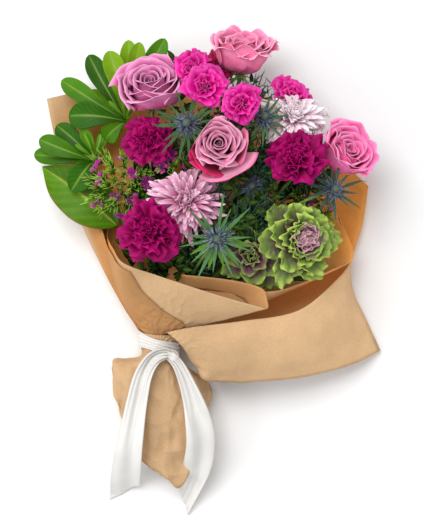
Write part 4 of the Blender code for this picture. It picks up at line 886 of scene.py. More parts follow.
def fan_petal(turn, foot, length, half_width, start_rise, end_rise, ruffle, crimps, phase, teeth, curl):
    """A fan on an arc. Its half width grows as t, its rim falls off as the square of a and is cut with teeth,
    and it is ruffled across a by two waves at odd lengths whose height grows with t; curl turns its far
    end round the bloom."""
    t, a = np.linspace(0, 1, 9)[:, None], np.linspace(-1, 1, 33)[None]
    saw = 2 * np.abs((a * 8.5 + phase) % 1 - 0.5) - 0.5
    rim = 1 - 0.22 * a**2 + teeth * saw + 0.05 * np.sin(4.3 * a + 2 * phase)
    along = t * (1 + (rim - 1) * t)
    across = half_width * a * (0.10 + 0.90 * t**1.15)
    wave = ruffle * t**1.6 * (np.sin(crimps * math.pi * a + phase + 2.4 * t)
                              + 0.5 * np.sin(1.9 * crimps * math.pi * a - 2 * phase - 3 * t))
    fold = 0.22 * ruffle * t * np.cos(crimps * math.pi * a + phase + 0.8)
    out, side, height = on_arc(along, across + fold, wave, foot, length, start_rise, end_rise, 3.0)
    return turned(out, side, height, turn + curl * t)


# Each row of petals: how many, length and half width to a reach of 1, and the rise at the foot and the rim.
CARNATION_ROWS = (
    (6, 1.10, 0.54, 76, -34), (6, 1.04, 0.52, 80, -6), (5, 0.96, 0.50, 84, 24), (5, 0.88, 0.48, 86, 44),
    (5, 0.80, 0.42, 87, 64), (4, 0.70, 0.36, 88, 80), (3, 0.60, 0.30, 89, 92),
)
MINI_ROWS = (
    (6, 1.12, 0.60, 66, -26), (5, 1.00, 0.54, 74, 2), (5, 0.84, 0.42, 82, 38), (4, 0.68, 0.32, 86, 66),
    (3, 0.54, 0.24, 88, 90),
)


def carnation(name, tones, seed, rows=CARNATION_ROWS, ruffle=0.15, teeth=0.035, size=1.0):
    """Row after row of fan petals, each a little different, in tones from foot to rim."""
    head, draw = HEADS[name], np.random.default_rng(seed)
    reach, sheets = head.reach * size, Sheets()
    for row, (count, length, half_width, start_rise, rise) in enumerate(rows):
        for k in range(count):
            turn = 53 * row + 360 * k / count + draw.uniform(-12, 12)
            long = length * reach * draw.uniform(0.90, 1.04)
            wide = half_width * reach * draw.uniform(0.85, 1.15)
            end_rise, ruffled = rise + draw.uniform(-12, 12), ruffle * reach * draw.uniform(0.7, 1.3)
            crimps, phase, curl = draw.uniform(1.3, 2.2), draw.uniform(0, 6.3), draw.uniform(-20, 20)
            petal = fan_petal(turn, 2.0, long, wide, start_rise, end_rise, ruffled, crimps, phase, teeth,
                              curl)
            share = np.linspace(0, 1, petal.shape[0])[:, None] ** 1.3 + 0.05 * waves(petal, 7, seed + row)
            sheets.add(head.fit(petal), blend_tones(tones, share) * draw.uniform(0.82, 1.12))
    return sheets


carnation_skin = petal_skin("carnation_petals", 0.66, 18, 0.25, 0.0, shine=0.15)
# Each set of tones runs from the petals' feet to their rims. The magenta is the flowers' own; the near black
# at the feet is painted shade deep among the petals.
DARK = (dye(40, 0, 20), dye(74, 0, 40), dye(124, 0, 70), dye(150, 0, 84), dye(180, 14, 114))
CARNATION_SIZES = {"carnation_left": 1.0, "carnation_mid": 0.86, "carnation_right": 1.0}
for seed, (name, size) in enumerate(CARNATION_SIZES.items(), 10):
    petals = carnation(name, DARK, seed, size=size)
    petals.object(name + "_petals", carnation_skin, name, "dark_carnation", 0.3)

# In the spray carnations too, the darkest tones at the feet are painted shade deep among the petals.
HOT = (dye(104, 0, 60), dye(160, 0, 96), dye(204, 0, 130), dye(218, 6, 142), dye(238, 84, 180))
DUSKY = (dye(70, 0, 20), dye(130, 0, 44), dye(160, 6, 62), dye(170, 16, 72), dye(186, 50, 100))
mini_skin = petal_skin("spray_carnation_petals", 0.6, 14, 0.2, 0.0, shine=0.15)
for seed, name in enumerate(("mini_1", "mini_2", "mini_3", "mini_4", "mini_5"), 20):
    petals = carnation(name, DUSKY if name == "mini_5" else HOT, seed, MINI_ROWS, 0.085, 0.06)
    petals.object(name + "_petals", mini_skin, name, "magenta", 0.3)

# ---------------------------------------------------------------- chrysanthemums
# Two double chrysanthemums in pale pink: over a hundred strap petals each, the inner ones short and
# curved inwards over the middle, the outer ones long and nearly flat.


def strap_petal(turn, foot, length, half_width, start_rise, end_rise, cup, lift):
    """A strap on an arc, gutter-shaped across, with a rounded tip: its half width swells over its first two
    thirds as a quarter sine and closes as the root of one minus nearly all of t to the sixth."""
    t, a = np.linspace(0, 1, 8)[:, None] ** 0.8, np.linspace(-1, 1, 5)[None]
    swell = 0.32 + 0.68 * np.sin(math.pi / 2 * np.minimum(1, t * 1.5))
    width = half_width * swell * np.sqrt(1 - 0.93 * t**6)
    dish = cup * a**2 * width / half_width
    out, side, height = on_arc(t + 0 * a, a * width, dish, foot, length, start_rise, end_rise, lift)
    return turned(out, side, height, turn)


# Each row: how many, length to a reach of 1, rise at the foot and at the tip, and its height.
MUM_ROWS = (
    (24, 1.00, 22, -14, 1), (25, 0.96, 36, -10, 2.5), (25, 0.90, 48, 0, 4), (24, 0.83, 58, 14, 5.5),
    (22, 0.75, 68, 32, 7), (20, 0.67, 74, 52, 8), (17, 0.59, 79, 76, 9), (14, 0.50, 81, 102, 9.5),
    (10, 0.42, 83, 126, 10), (7, 0.34, 85, 146, 10),
)


def mum(name, tones, seed, broad):
    """Row after row of straps, each a little different and waved more towards its tip, broad times as wide
    as the plainest."""
    head, draw = HEADS[name], np.random.default_rng(seed)
    reach, sheets = head.reach, Sheets()
    for row, (count, length, start_rise, end_rise, lift) in enumerate(MUM_ROWS):
        for k in range(count):
            turn, foot = GOLDEN_ANGLE * row + 360 * k / count + draw.uniform(-9, 9), 2.0 + 0.35 * (9 - row)
            long, wide = length * reach * draw.uniform(0.76, 1.10), reach * draw.uniform(0.040, 0.066) * broad
            start, end = start_rise + draw.uniform(-13, 13), end_rise + draw.uniform(-40, 40)
            petal = strap_petal(turn, foot, long, wide, start, end, 0.05 * reach, lift)
            t = np.linspace(0, 1, len(petal))[:, None]
            petal = petal + (0.05 * reach * waves(petal, 1.1 * reach, seed) * t**2)[..., None]
            tone = blend_tones(tones, t + np.zeros(petal.shape[1]))
            sheets.add(head.fit(petal), tone * draw.uniform(0.93, 1.05))
    return sheets


mum_skin = petal_skin("chrysanthemum_petals", 0.6, 5, 0.2, 0.08)
MUMS = {
    "mum_left": ((dye(192, 84, 132), dye(222, 134, 174), dye(236, 174, 206), dye(246, 214, 230)), 31, 1.0),
    "mum_right": ((dye(246, 184, 212), dye(252, 216, 232), dye(254, 236, 243), dye(255, 246, 250)), 32, 1.35),
}
for name, look in MUMS.items():
    mum(name, *look).object(name + "_petals", mum_skin, name, "mum", 0.3)

# ---------------------------------------------------------------- ornamental kales
# Two ornamental kales: rosettes of thick waxy leaves with tightly frilled margins, green outside, with a
# crinkled purple and cream heart. Each is cut with its stem like a flower.


def kale_leaf(turn, foot, length, half_width, start_rise, end_rise, frill, frills, cup, phase, base,
              rings, spokes):
    """A leaf laid out round its own middle: ring goes from the middle to the margin and spoke round it. Along
    the leaf it is 0.53 plus 0.47 ring cos spoke; across, ring sin spoke times a width that narrows to the
    foot. The margin is scalloped, and frilled by fine waves round it whose height grows as ring to the
    seventh and coarse ones as ring to the fourth. The blade is dished by cup, crinkled, and bent onto an
    arc. Gives the leaf, how far along and across it each point is, and how near the frilled margin."""
    ring, spoke = np.linspace(0, 1, rings)[:, None], np.linspace(-math.pi, math.pi, spokes)[None]
    inner = np.clip(1.25 * (1 + np.cos(spoke)) / 2 + 0.10, 0, 1)  # the margin near the foot is plain
    coarse = np.sin(0.38 * frills * spoke - phase)
    scallop = 1 + ring**3 * inner * (0.028 * np.sin(frills * spoke + phase) + 0.05 * coarse)
    along = 0.53 + 0.47 * ring * np.cos(spoke) * scallop
    narrow = 0.34 + 0.66 * np.clip(along / 0.55, 0, 1) ** 1.2
    across = half_width * ring * np.sin(spoke) * narrow * scallop
    wave = frill * inner * (ring**7 * np.sin(frills * spoke + 2 * phase) + 0.8 * ring**4 * coarse)
    blade = np.stack([across, length * along, 0 * across + 11 * phase], -1)
    lift = wave + cup * (across / half_width) ** 2 + 0.35 * frill * waves(blade, 0.34 * half_width, 7) * ring
    out, side, height = on_arc(along, across, lift, foot, length, start_rise, end_rise, base)
    return turned(out, side, height, turn), along, across / half_width, ring * inner


def kale_rows(sheets, head, rows, tones, seed, rings=9, spokes=97, frills=(8.5, 11.5)):
    """Row after row of leaves. A row is how many, length and half width to a reach of 1, rise at the foot
    and at the tip, frill and cup to a reach of 1, and its height; tones are the leaf's foot, its blade, its
    margin and its veins."""
    draw, reach, (foot, blade, edge, vein) = np.random.default_rng(seed), head.reach, tones
    for row, (count, length, half_width, start_rise, end_rise, frill, cup, base) in enumerate(rows):
        for k in range(count):
            turn = 57 * row + 360 * k / count + draw.uniform(-10, 10)
            long = length * reach * draw.uniform(0.90, 1.05)
            wide = half_width * reach * draw.uniform(0.9, 1.1)
            start, end = start_rise + draw.uniform(-6, 6), end_rise + draw.uniform(-12, 12)
            number, phase = draw.uniform(*frills), draw.uniform(0, 6.3)
            leaf, along, across, margin = kale_leaf(turn, 2.5, long, wide, start, end, frill * reach, number,
                                                    cup * reach, phase, base, rings, spokes)
            leaf = leaf + 0.016 * reach * (margin**3 * waves(leaf, 5.5, seed))[..., None]
            onward = np.clip(along + 0.12 * waves(leaf, 18, seed), 0, 1)
            tone = blend_tones((foot, foot, foot, (foot + blade) / 2, blade, blade), onward)
            tone = tone + (edge - tone) * np.clip(1.5 * margin**5, 0, 1)[..., None]
            ribs = np.exp(-((across / 0.05) ** 2)) * np.clip(1.15 - along, 0, 1)
            between = (np.abs(across) * 3.6 - 4.2 * along) % 1 - 0.5
            fans = np.exp(-((between / 0.13) ** 2)) * (1 - margin) ** 0.5
            tone = tone + (vein - tone) * np.clip(0.75 * ribs + 0.40 * fans, 0, 1)[..., None]
            sheets.add(head.fit(leaf), tone * draw.uniform(0.82, 1.10))


kale_skin = petal_skin("kale_leaves", 0.5, 8, 0.1, 0.0)
OUTER_LEAVES = (
    (6, 1.04, 0.36, 34, -20, 0.085, 0.10, -2), (6, 0.92, 0.35, 50, 2, 0.085, 0.16, 2),
    (5, 0.82, 0.34, 62, 26, 0.08, 0.20, 6),
)
HEART_COLLAR = ((5, 0.74, 0.32, 70, 44, 0.07, 0.20, 9),)
HEART_LEAVES = (
    (8, 0.62, 0.22, 66, 66, 0.05, 0.12, 11), (8, 0.54, 0.19, 72, 78, 0.05, 0.14, 13),
    (7, 0.47, 0.16, 76, 88, 0.05, 0.14, 14), (7, 0.41, 0.14, 80, 96, 0.05, 0.12, 15),
    (5, 0.36, 0.12, 84, 100, 0.045, 0.10, 16), (4, 0.32, 0.10, 88, 104, 0.04, 0.10, 17),
)
leaves = Sheets()
kale_rows(leaves, HEADS["kale_large"], OUTER_LEAVES,
          (dye(110, 64, 92), dye(98, 128, 56), dye(178, 204, 92), dye(150, 140, 116)), 41)
leaves.object("kale_large_outer_leaves", kale_skin, "kale_large_leaves", "kale_green", 0.4)
heart = Sheets()
kale_rows(heart, HEADS["kale_large"], HEART_COLLAR,
          (dye(110, 50, 96), dye(128, 86, 112), dye(156, 188, 84), dye(180, 128, 160)), 42)
kale_rows(heart, HEADS["kale_large"], HEART_LEAVES,
          (dye(120, 44, 100), dye(158, 92, 134), dye(214, 172, 178), dye(206, 156, 184)), 43, 6, 49, (5, 7))
heart.object("kale_large_inner_leaves", kale_skin, "kale_large_heart", "kale_purple", 0.4)

SMALL_OUTER_LEAVES = ((7, 1.38, 0.48, 26, -16, 0.09, 0.12, 4), (6, 1.16, 0.42, 42, 6, 0.09, 0.16, 7))
SMALL_HEART_LEAVES = (
    (5, 0.84, 0.34, 60, 40, 0.07, 0.16, 10), (6, 0.62, 0.22, 70, 74, 0.06, 0.12, 12),
    (5, 0.48, 0.16, 80, 96, 0.05, 0.10, 14),
)
small = Sheets()
kale_rows(small, HEADS["kale_small"], SMALL_OUTER_LEAVES,
          (dye(100, 56, 84), dye(90, 96, 56), dye(156, 188, 78), dye(150, 110, 130)), 44, 8, 65, (7.5, 10))
kale_rows(small, HEADS["kale_small"], SMALL_HEART_LEAVES,
          (dye(92, 34, 76), dye(118, 70, 94), dye(158, 176, 96), dye(160, 114, 140)), 45, 7, 49, (6, 8))
small.object("kale_small_all_leaves", kale_skin, "kale_small_leaves", "kale_green", 0.4)

# ---------------------------------------------------------------- sea hollies
# Five sea holly thistles: a small blue-grey cone bristling with spines, in a collar of long stiff green
# bracts with toothed edges that turn blue towards the cone.


BRACT_TEETH = 9
SPINES = 200


def toothed_bract(turn, foot, length, half_width, start_rise, end_rise):
    """A stiff blade whose rise goes from start_rise to end_rise degrees, widest at two fifths, folded along
    its midrib, with its half width multiplied by a saw so that its edge is a row of forward teeth."""
    t, a = np.linspace(0, 1, 25)[:, None], np.linspace(-1, 1, 5)[None]
    rise = np.radians(start_rise + (end_rise - start_rise) * t)
    steps = np.diff(t, axis=0)
    middle = (rise[1:] + rise[:-1]) / 2
    out = foot + np.concatenate([[[0.0]], np.cumsum(np.cos(middle) * steps, axis=0)]) * length
    up = -2.5 + np.concatenate([[[0.0]], np.cumsum(np.sin(middle) * steps, axis=0)]) * length
    saw = (t * BRACT_TEETH) % 1
    width = half_width * (0.45 + 0.55 * np.sin(math.pi * t**0.8)) * (1 - 0.35 * t) * np.sqrt(1 - t**4)
    width = width * (1 + 0.65 * saw * (np.abs(a) > 0.9) * (1 - 0.5 * t))
    fold = 0.35 * np.abs(a) * width
    return turned(out - fold * np.sin(rise), a * width, up + fold * np.cos(rise), turn)


def spine(foot, way, length, half_width):
    """Many flat needles at once: each is a blade of three points a side from its foot along its way, which
    narrows to its tip."""
    way = unit(way)
    side = unit(np.cross(way, np.roll(way, 1, -1) + 0.3))
    t = np.array([0.0, 0.5, 1.0])
    width = half_width * np.array([1.0, 0.75, 0.06])
    a = np.array([-1.0, 1.0])
    return (foot[:, None, None] + way[:, None, None] * (length[:, None] * t)[..., None, None]
            + side[:, None, None] * (width[:, None] * a)[None, ..., None])


def thistle(name, seed, green, blue, pale, collar, feathery=0, long=1.0):
    """A collar of bracts, long and short by turns, with a few broad feathery ones towards the ribbon
    where feathery says how many, then the spines, which leave the cone all round, and the cone itself."""
    head, draw = HEADS[name], np.random.default_rng(seed)
    reach, bracts = head.reach, Sheets()
    for k in range(collar):
        turn = 360 * k / collar + draw.uniform(-9, 9)
        length = reach * long * (1.12 if k % 2 else 0.86) * draw.uniform(0.82, 1.06) - 2
        half_width, start, end = draw.uniform(1.5, 2.2), draw.uniform(4, 32), draw.uniform(-6, 14)
        bract = toothed_bract(turn, 3.0, length, half_width, start, end)
        share = np.linspace(0, 1, len(bract))[:, None] + np.zeros(bract.shape[1])
        tone = blend_tones((blue, green * 0.8, green, green, green * 1.2), share)
        bracts.add(head.fit(bract), tone * draw.uniform(0.85, 1.12))
    for k in range(feathery):
        turn = -90 + 130 * (k / (feathery - 1) - 0.5) + draw.uniform(-6, 6)
        bract = toothed_bract(turn, 4.0, reach * draw.uniform(0.62, 0.9), draw.uniform(2.6, 3.6), -8, -24)
        bracts.add(head.fit(bract), dye(104, 150, 52) * draw.uniform(0.8, 1.1))
    tall, round_ = draw.uniform(-0.35, 1, SPINES), draw.uniform(0, 2 * math.pi, SPINES)
    ring = np.sqrt(1 - np.minimum(1, np.maximum(tall, 0)) ** 2)
    way = np.stack([ring * np.cos(round_), ring * np.sin(round_), tall + 0.1], -1)
    foot = way * (2.6, 2.6, 3.4) + (0, 0, 2.5)
    way = way + draw.normal(0, 0.16, (SPINES, 3))
    length = draw.uniform(0.12, 0.42, SPINES) * reach * (1.1 - 0.55 * np.maximum(tall, 0))
    tone = blend_tones((blue * 0.4, blue * 0.9, pale), np.array([[0, 0], [0.5, 0.5], [1, 1]]))
    for needle in spine(foot, way, length, 0.42):
        bracts.add(head.fit(needle), tone * draw.uniform(0.6, 1.1))
    bracts.object(name + "_collar", thistle_skin, name + "_bracts", "thistle_green", 0.28)

    # The cone: an egg whose radius is raised in a spiral of small knobs, the product of two sines that wind
    # round it opposite ways, with a pole at either end.
    along, round_ = np.linspace(0, math.pi, 33)[:, None], np.linspace(0, 2 * math.pi, 57)[None]
    knobs = 1 + 0.13 * np.abs(np.sin(8 * round_ + 9 * along) * np.sin(8 * round_ - 9 * along)) * np.sin(along)
    x = 4.6 * np.sin(along) * np.cos(round_) * knobs
    y = 4.6 * np.sin(along) * np.sin(round_) * knobs
    egg = np.stack([x, y, 7.0 - 6.4 * np.cos(along) * knobs + 0 * round_], -1)
    cone = Sheets()
    upward = 0.5 - 0.5 * np.cos(along) + 0 * round_
    cone.add(head.place(egg), blend_tones((dye(36, 46, 62), blue * 0.45, dye(92, 108, 84)), upward))
    cone.object(name + "_knobbed_cone", thistle_skin, name + "_cone", "thistle_blue", weld=True)


thistle_skin = petal_skin("sea_holly", 0.6, 6, 0.3, 0.1)
HOLLY_GREEN, HOLLY_BLUE, HOLLY_PALE = dye(66, 100, 56), dye(76, 92, 128), dye(168, 182, 196)
thistle("thistle_1", 51, HOLLY_GREEN, HOLLY_BLUE, HOLLY_PALE, 17, long=1.14)
thistle("thistle_2", 52, dye(72, 110, 66), HOLLY_BLUE, HOLLY_PALE, 14, long=1.1)
thistle("thistle_3", 53, dye(82, 128, 74), dye(84, 108, 134), dye(196, 208, 210), 14, 5)
thistle("thistle_4", 54, dye(64, 92, 74), dye(80, 92, 122), HOLLY_PALE, 14)
thistle("thistle_5", 55, dye(66, 98, 66), dye(88, 92, 140), dye(176, 176, 214), 11)

# ---------------------------------------------------------------- sweet williams
# Three heads of sweet william, mostly still in bud: many thin pointed green bracts, a few small notched
# magenta florets on short stalks, and round pink buds about to open.


FLORET_PETALS = 5
IN_A_CLUMP = 15  # the bracts stand in clumps of so many


def tiny_floret(radius):
    """A flat floret: its outline is a radius that swells and is notched once for each petal, round a dip."""
    t, angle = np.linspace(0, 1, 5)[:, None], np.linspace(0, 2 * math.pi, FLORET_PETALS * 8 + 1)[None]
    notch = ((angle * FLORET_PETALS / 6.283) + 0.5) % 1 - 0.5
    lobe = np.abs(np.cos(FLORET_PETALS * angle / 2)) ** 0.5 * (1 - 0.16 * np.exp(-((notch / 0.09) ** 2)))
    out = radius * t * (0.30 + 0.70 * lobe)
    height = 0.28 * radius * t**1.5 + 0 * angle + 0.10 * radius * t * np.sin(3 * angle)
    return np.stack([out * np.cos(angle), out * np.sin(angle), height], -1)


def round_bud(middle):
    """An egg about its middle, 3.3 round and 4.2 up and down."""
    along, round_ = np.linspace(0, math.pi, 9)[:, None], np.linspace(0, 2 * math.pi, 13)[None]
    x, y = 3.3 * np.sin(along) * np.cos(round_), 3.3 * np.sin(along) * np.sin(round_)
    return np.stack([x, y, -4.2 * np.cos(along) + 0 * round_], -1) + middle


def sweet_william(name, seed, florets, clumps, buds):
    """Clumps of bracts on a low dome, each leaning outwards and a little darker or lighter than the next,
    then the florets that stand above them and the buds."""
    head, draw = HEADS[name], np.random.default_rng(seed)
    reach, sheets = head.reach, Sheets()
    out = reach * 0.88 * np.sqrt((np.arange(clumps) + 0.5) / clumps)
    round_ = 2.4 * np.arange(clumps) + draw.uniform(-0.3, 0.3, clumps)
    middle = np.stack([out * np.cos(round_), out * np.sin(round_), 12 - 9 * (out / reach) ** 2], -1)
    outward = 0.8 * out / reach
    lean = np.stack([outward * np.cos(round_), outward * np.sin(round_), 0.9 + 0 * out], -1)
    foot = np.repeat(middle, IN_A_CLUMP, 0) + draw.normal(0, 1.5, (clumps * IN_A_CLUMP, 3))
    way = np.repeat(lean, IN_A_CLUMP, 0) + draw.normal(0, 0.36, (clumps * IN_A_CLUMP, 3))
    shade = np.repeat(draw.uniform(0.6, 1.3, clumps), IN_A_CLUMP)
    greens = (dye(74, 116, 22), dye(120, 170, 40), dye(172, 206, 90))
    tone = blend_tones(greens, np.array([[0, 0], [0.6, 0.6], [1, 1]]))
    for bract, light in zip(spine(foot, way, draw.uniform(9, 20, len(foot)), 1.15), shade):
        sheets.add(head.fit(bract), tone * light * draw.uniform(0.8, 1.15))
    sheets.object(name + "_bracts", bristle_skin, name, "stem", 0.3)
    flowers = Sheets()
    for k in range(florets):
        out, turn = reach * (0.18 + 0.68 * math.sqrt((k + 0.5) / florets)), 2.4 * k + seed
        centre = np.array([out * math.cos(turn), out * math.sin(turn), 20 - 8 * (out / reach) ** 2])
        facing = unit(np.array([centre[0] / 26, centre[1] / 26, 1]) + draw.normal(0, 0.25, 3))
        axes = axes_facing(head.axes @ facing, draw.uniform(0, 360))
        flower = tiny_floret(draw.uniform(7.2, 9.8)) @ axes.T
        share = np.linspace(0, 1, len(flower))[:, None] + np.zeros(flower.shape[1])
        tone = blend_tones((dye(150, 40, 130), dye(150, 10, 124), dye(176, 22, 150)), share)
        flowers.add(head.place(centre) + flower, tone * draw.uniform(0.65, 1.15))
    for k in range(buds):
        out, turn = reach * draw.uniform(0.4, 0.95), draw.uniform(0, 6.3)
        bud = round_bud((out * math.cos(turn), out * math.sin(turn), 15))
        flowers.add(head.fit(bud), dye(176, 70, 140) * draw.uniform(0.8, 1.15))
    flowers.object(name + "_florets", floret_skin, name, "magenta", 0.25)


bristle_skin = petal_skin("sweet_william_bracts", 0.55, 3, 0.3, 0.0)
floret_skin = petal_skin("sweet_william_florets", 0.6, 20, 0.3, 0.2)
sweet_william("sweet_william_1", 61, 9, 36, 4)
sweet_william("sweet_william_2", 62, 6, 16, 2)
sweet_william("sweet_william_3", 63, 5, 8, 2)

# ---------------------------------------------------------------- foliage
# Two sprays of glossy leaves, widest near their tips, in whorls at the ends of woody stems, one broad leaf
# with a wavy edge at the left, and small leafy twigs that fill the bouquet between the blooms, whose dark
# greens are partly painted shade.

FOLIAGE_TIPS = {"foliage_1": (-96, 172, 54), "foliage_2": (-132, 126, 44), "broad_leaf": (-106, 50, 60)}
FOLIAGE_LEAVES = {
    "foliage_1": (
        ((-171, 217, 46), 10, 5), ((-139, 246, 52), 10, 7), ((-115, 250, 60), 11, 6), ((-92, 263, 56), 9, 5),
        ((-79, 259, 70), 9, 4), ((-50, 264, 62), 10, 6), ((-162, 175, 56), 14, 6), ((-145, 200, 38), 11, 4),
        ((-120, 148, 48), 10, 4),
    ),
    "foliage_2": (
        ((-177, 165, 40), 10, 5), ((-197, 148, 46), 10, 6), ((-204, 131, 34), 9, 4), ((-146, 160, 58), 6, 3),
        ((-119, 161, 40), 6, 3), ((-158, 87, 72), 13, 17),
    ),
    "broad_leaf": (((-193, 116, 50), 29, 7),),
}
# How wide a leaf is along its length, from foot to tip, to a half width of 1.
OBOVATE = (0.12, 0.20, 0.36, 0.60, 0.82, 0.97, 1.0, 0.86)
OVATE = (0.08, 0.62, 0.90, 1.0, 0.96, 0.82, 0.54, 0.16)


def leaf_blade(foot, tip, half_width, arch, outline, waves_high, fold, bow, rows=25, columns=15):
    """A leaf from its foot to its tip. Its half width follows a smooth curve through the outline's shares,
    closed at the tip by the root of one minus t to the ninth; its middle arches as a sine of t and bows
    sideways as one, its halves rise from the midrib by fold times their width, and its edge waves as a
    sine along t that grows outwards. The rows stand closer towards the tip."""
    foot, tip = np.asarray(foot, float), np.asarray(tip, float)
    along = unit(tip - foot)
    side = unit(np.cross(along, [0, 0, 1]))
    up = np.cross(side, along)
    t, a = np.linspace(0, 1, rows)[:, None], np.linspace(-1, 1, columns)[None]
    t = 1.6 * t - 0.6 * t**2
    curve = smooth(np.array(outline), 12)
    outlined = np.interp(t, np.linspace(0, 1, len(curve)), curve)
    width = half_width * outlined * np.sqrt(np.maximum(0.0004, 1 - t**9))
    lift = arch * np.sin(math.pi * t) + fold * np.abs(a) ** 1.4 * width
    lift = lift + waves_high * np.abs(a) ** 2 * np.sin(13 * t + 2 * a)
    length = np.linalg.norm(tip - foot)
    across = a * width + bow * np.sin(math.pi * t)
    return foot + (length * t)[..., None] * along + across[..., None] * side + lift[..., None] * up


def leaf_tone(blade, light, vein, strength=0.10):
    """Leaf green from dark at the foot to light, with a pale midrib and faint side veins."""
    t, a = np.linspace(0, 1, blade.shape[0])[:, None], np.linspace(-1, 1, blade.shape[1])[None]
    tone = light * (0.74 + 0.26 * t)[..., None] * (1 + 0.10 * a)[..., None]
    midrib = np.exp(-((a / 0.075) ** 2)) * (1 - 0.6 * t)
    sides = strength * np.exp(-((((t * 9 - 2.2 * np.abs(a)) % 1) - 0.5) / 0.12) ** 2)
    return tone + (vein - tone) * np.clip(midrib + sides, 0, 1)[..., None] * 0.8


def leaf_skin(name, roughness, lines):
    """Leaf tissue: like a petal's, but smoother, with a thin coat over it."""
    material = petal_skin(name, roughness, lines, 0.06, 0.0, relief=0.08, shine=0.12)
    shader = material.node_tree.nodes["Principled BSDF"]
    shader.inputs["Coat Weight"].default_value = 0.02
    shader.inputs["Coat Roughness"].default_value = 0.3
    return material


glossy_leaf = leaf_skin("glossy_leaves", 0.42, 4)
LEAF_GREENS = (dye(70, 124, 8), dye(88, 140, 20), dye(118, 160, 16), dye(44, 94, 4))
LEAF_SHADES = {"foliage_1": (0, 3, 2, 2, 2, 0, 3, 2, 0), "foliage_2": (3, 0, 0, 1, 1, 3)}
VEIN = dye(146, 178, 70)
for name in ("foliage_1", "foliage_2"):
    tip = np.array(FOLIAGE_TIPS[name], float)
    way = unit(WAIST - tip)
    spray = Sheets()
    draw = np.random.default_rng(len(name) + len(FOLIAGE_LEAVES[name]))
    for k, (end, half_width, arch) in enumerate(FOLIAGE_LEAVES[name]):
        bow = draw.uniform(-3, 3)
        blade = leaf_blade(tip + way * 3, end, half_width * 1.22, arch, OBOVATE, 0.5, 0.22, bow)
        spray.add(blade, leaf_tone(blade, LEAF_GREENS[LEAF_SHADES[name][k]] * draw.uniform(0.85, 1.1), VEIN))
    # Three slim new leaves rise at the end of the twig, where next year's whorl starts.
    for out, forward in ((-16, 24), (2, 30), (16, 22)):
        end = tip + np.cross(way, (0, 0, 1)) * out - way * forward + (0, 0, 14)
        blade = leaf_blade(tip, end, 2.7, 3, OBOVATE, 0.3, 0.3, 0, 13, 7)
        spray.add(blade, leaf_tone(blade, dye(92, 150, 40), VEIN))
    spray.object(name + "_leaves", glossy_leaf, name, "leaf", 0.4)

# The broad leaf is painted darker right of its midrib, a painted shade over that half, and it is brown along
# its edge.
tip = np.array(FOLIAGE_TIPS["broad_leaf"], float)
end, half_width, arch = FOLIAGE_LEAVES["broad_leaf"][0]
blade = leaf_blade(tip + unit(WAIST - tip) * 3, end, half_width * 1.04, arch, OVATE, 2.6, 0.16, 3, 49, 33)
a = np.linspace(-1, 1, 33)[None]
tone = leaf_tone(blade, dye(84, 136, 6), dye(170, 180, 60), 0.2)
tone = tone * (1 - 0.45 * (a > 0.02))[..., None]
tone = tone + (dye(120, 96, 44) - tone) * (np.abs(a) ** 18 * 0.7)[..., None]
broad = Sheets()
broad.add(blade, tone)
broad.object("broad_leaf_blade", glossy_leaf, "broad_leaf", "leaf", 0.45)

# Under the blooms a bed of broad leaves lies on the paper, their tips fanned away from the ribbon. Their dark
# greens, dimmed further at random, are partly painted shade deep under the blooms.
twig_leaf = leaf_skin("twig_leaves", 0.5, 3)
# Twig greens: the leaves' own green held dark by painted shade, for the shadowed gaps deep in the bouquet.
TWIG_GREENS_WITH_PAINTED_SHADE = (dye(36, 62, 16), dye(50, 80, 20), dye(28, 48, 16), dye(72, 104, 28))
# Each row of them: how far out, the first and last bearing, right of straight on, and how many.
BED_ROWS = (
    (60, -14, 36, 7), (95, -20, 46, 10), (130, -24, 62, 13), (165, -24, 66, 14), (200, -18, 56, 12),
    (232, -10, 42, 9),
)
draw = np.random.default_rng(70)
bed = Sheets()
for reach, first, last, count in BED_ROWS:
    for k in range(count):
        bearing = math.radians(90 - (first + (last - first) * (k + 0.5) / count) + draw.uniform(-3, 3))
        far = reach * draw.uniform(0.93, 1.06) * 1.12
        end = WAIST + np.array([far * math.cos(bearing) + 22, far * math.sin(bearing) + 12, 0])
        end[2] = 46 + 26 * math.sin(math.pi * min(1, far / 300)) + draw.uniform(-7, 12)
        onward = unit(np.array([math.cos(bearing), math.sin(bearing), 0.18]) + draw.normal(0, 0.16, 3))
        start = end - onward * draw.uniform(38, 52)
        blade = leaf_blade(start, end, draw.uniform(9, 13), 4, OVATE, 0.6, 0.25, 0, 9, 7)
        bed.add(blade, leaf_tone(blade, TWIG_GREENS_WITH_PAINTED_SHADE[k % 4] * draw.uniform(0.45, 1.0), dye(84, 110, 40)))
bed.object("leaf_bed", twig_leaf, slot="leaf", thickness=0.3)

# The twigs: each runs from its tip towards the ribbon, and its small leaves leave it on alternate sides.
TWIG_TIPS = (
    (-84, 108, 90), (-60, 92, 96), (-44, 128, 96), (-44, 166, 104), (-26, 196, 96), (18, 206, 100),
    (22, 170, 110), (48, 146, 112), (60, 118, 104), (30, 96, 110), (-2, 100, 108), (76, 84, 98),
    (64, 58, 96), (36, 62, 104), (26, 42, 92), (66, 40, 74), (-10, 44, 104), (-30, 34, 96),
    (-40, 14, 88), (0, 14, 80), (128, 110, 90), (136, 108, 76), (120, 150, 82), (70, 196, 84),
    (56, 212, 76), (-40, 240, 76), (-92, 36, 84), (134, 60, 66), (84, 146, 96), (-10, 140, 112),
    (40, 168, 118), (14, 92, 116), (78, 112, 112), (52, 74, 108), (-8, 24, 98), (10, 62, 102),
    (-20, 14, 82), (-64, 16, 84), (8, 22, 84), (-54, 178, 92), (2, 176, 110), (72, 150, 104),
    (128, 96, 100), (66, 92, 108), (78, 60, 92),
)
TWIG_LEAVES, TWIG_STEP = 11, 5.2  # how many to a twig, and how far from one to the next
NEEDLES = 44
draw = np.random.default_rng(71)
twigs = Sheets()
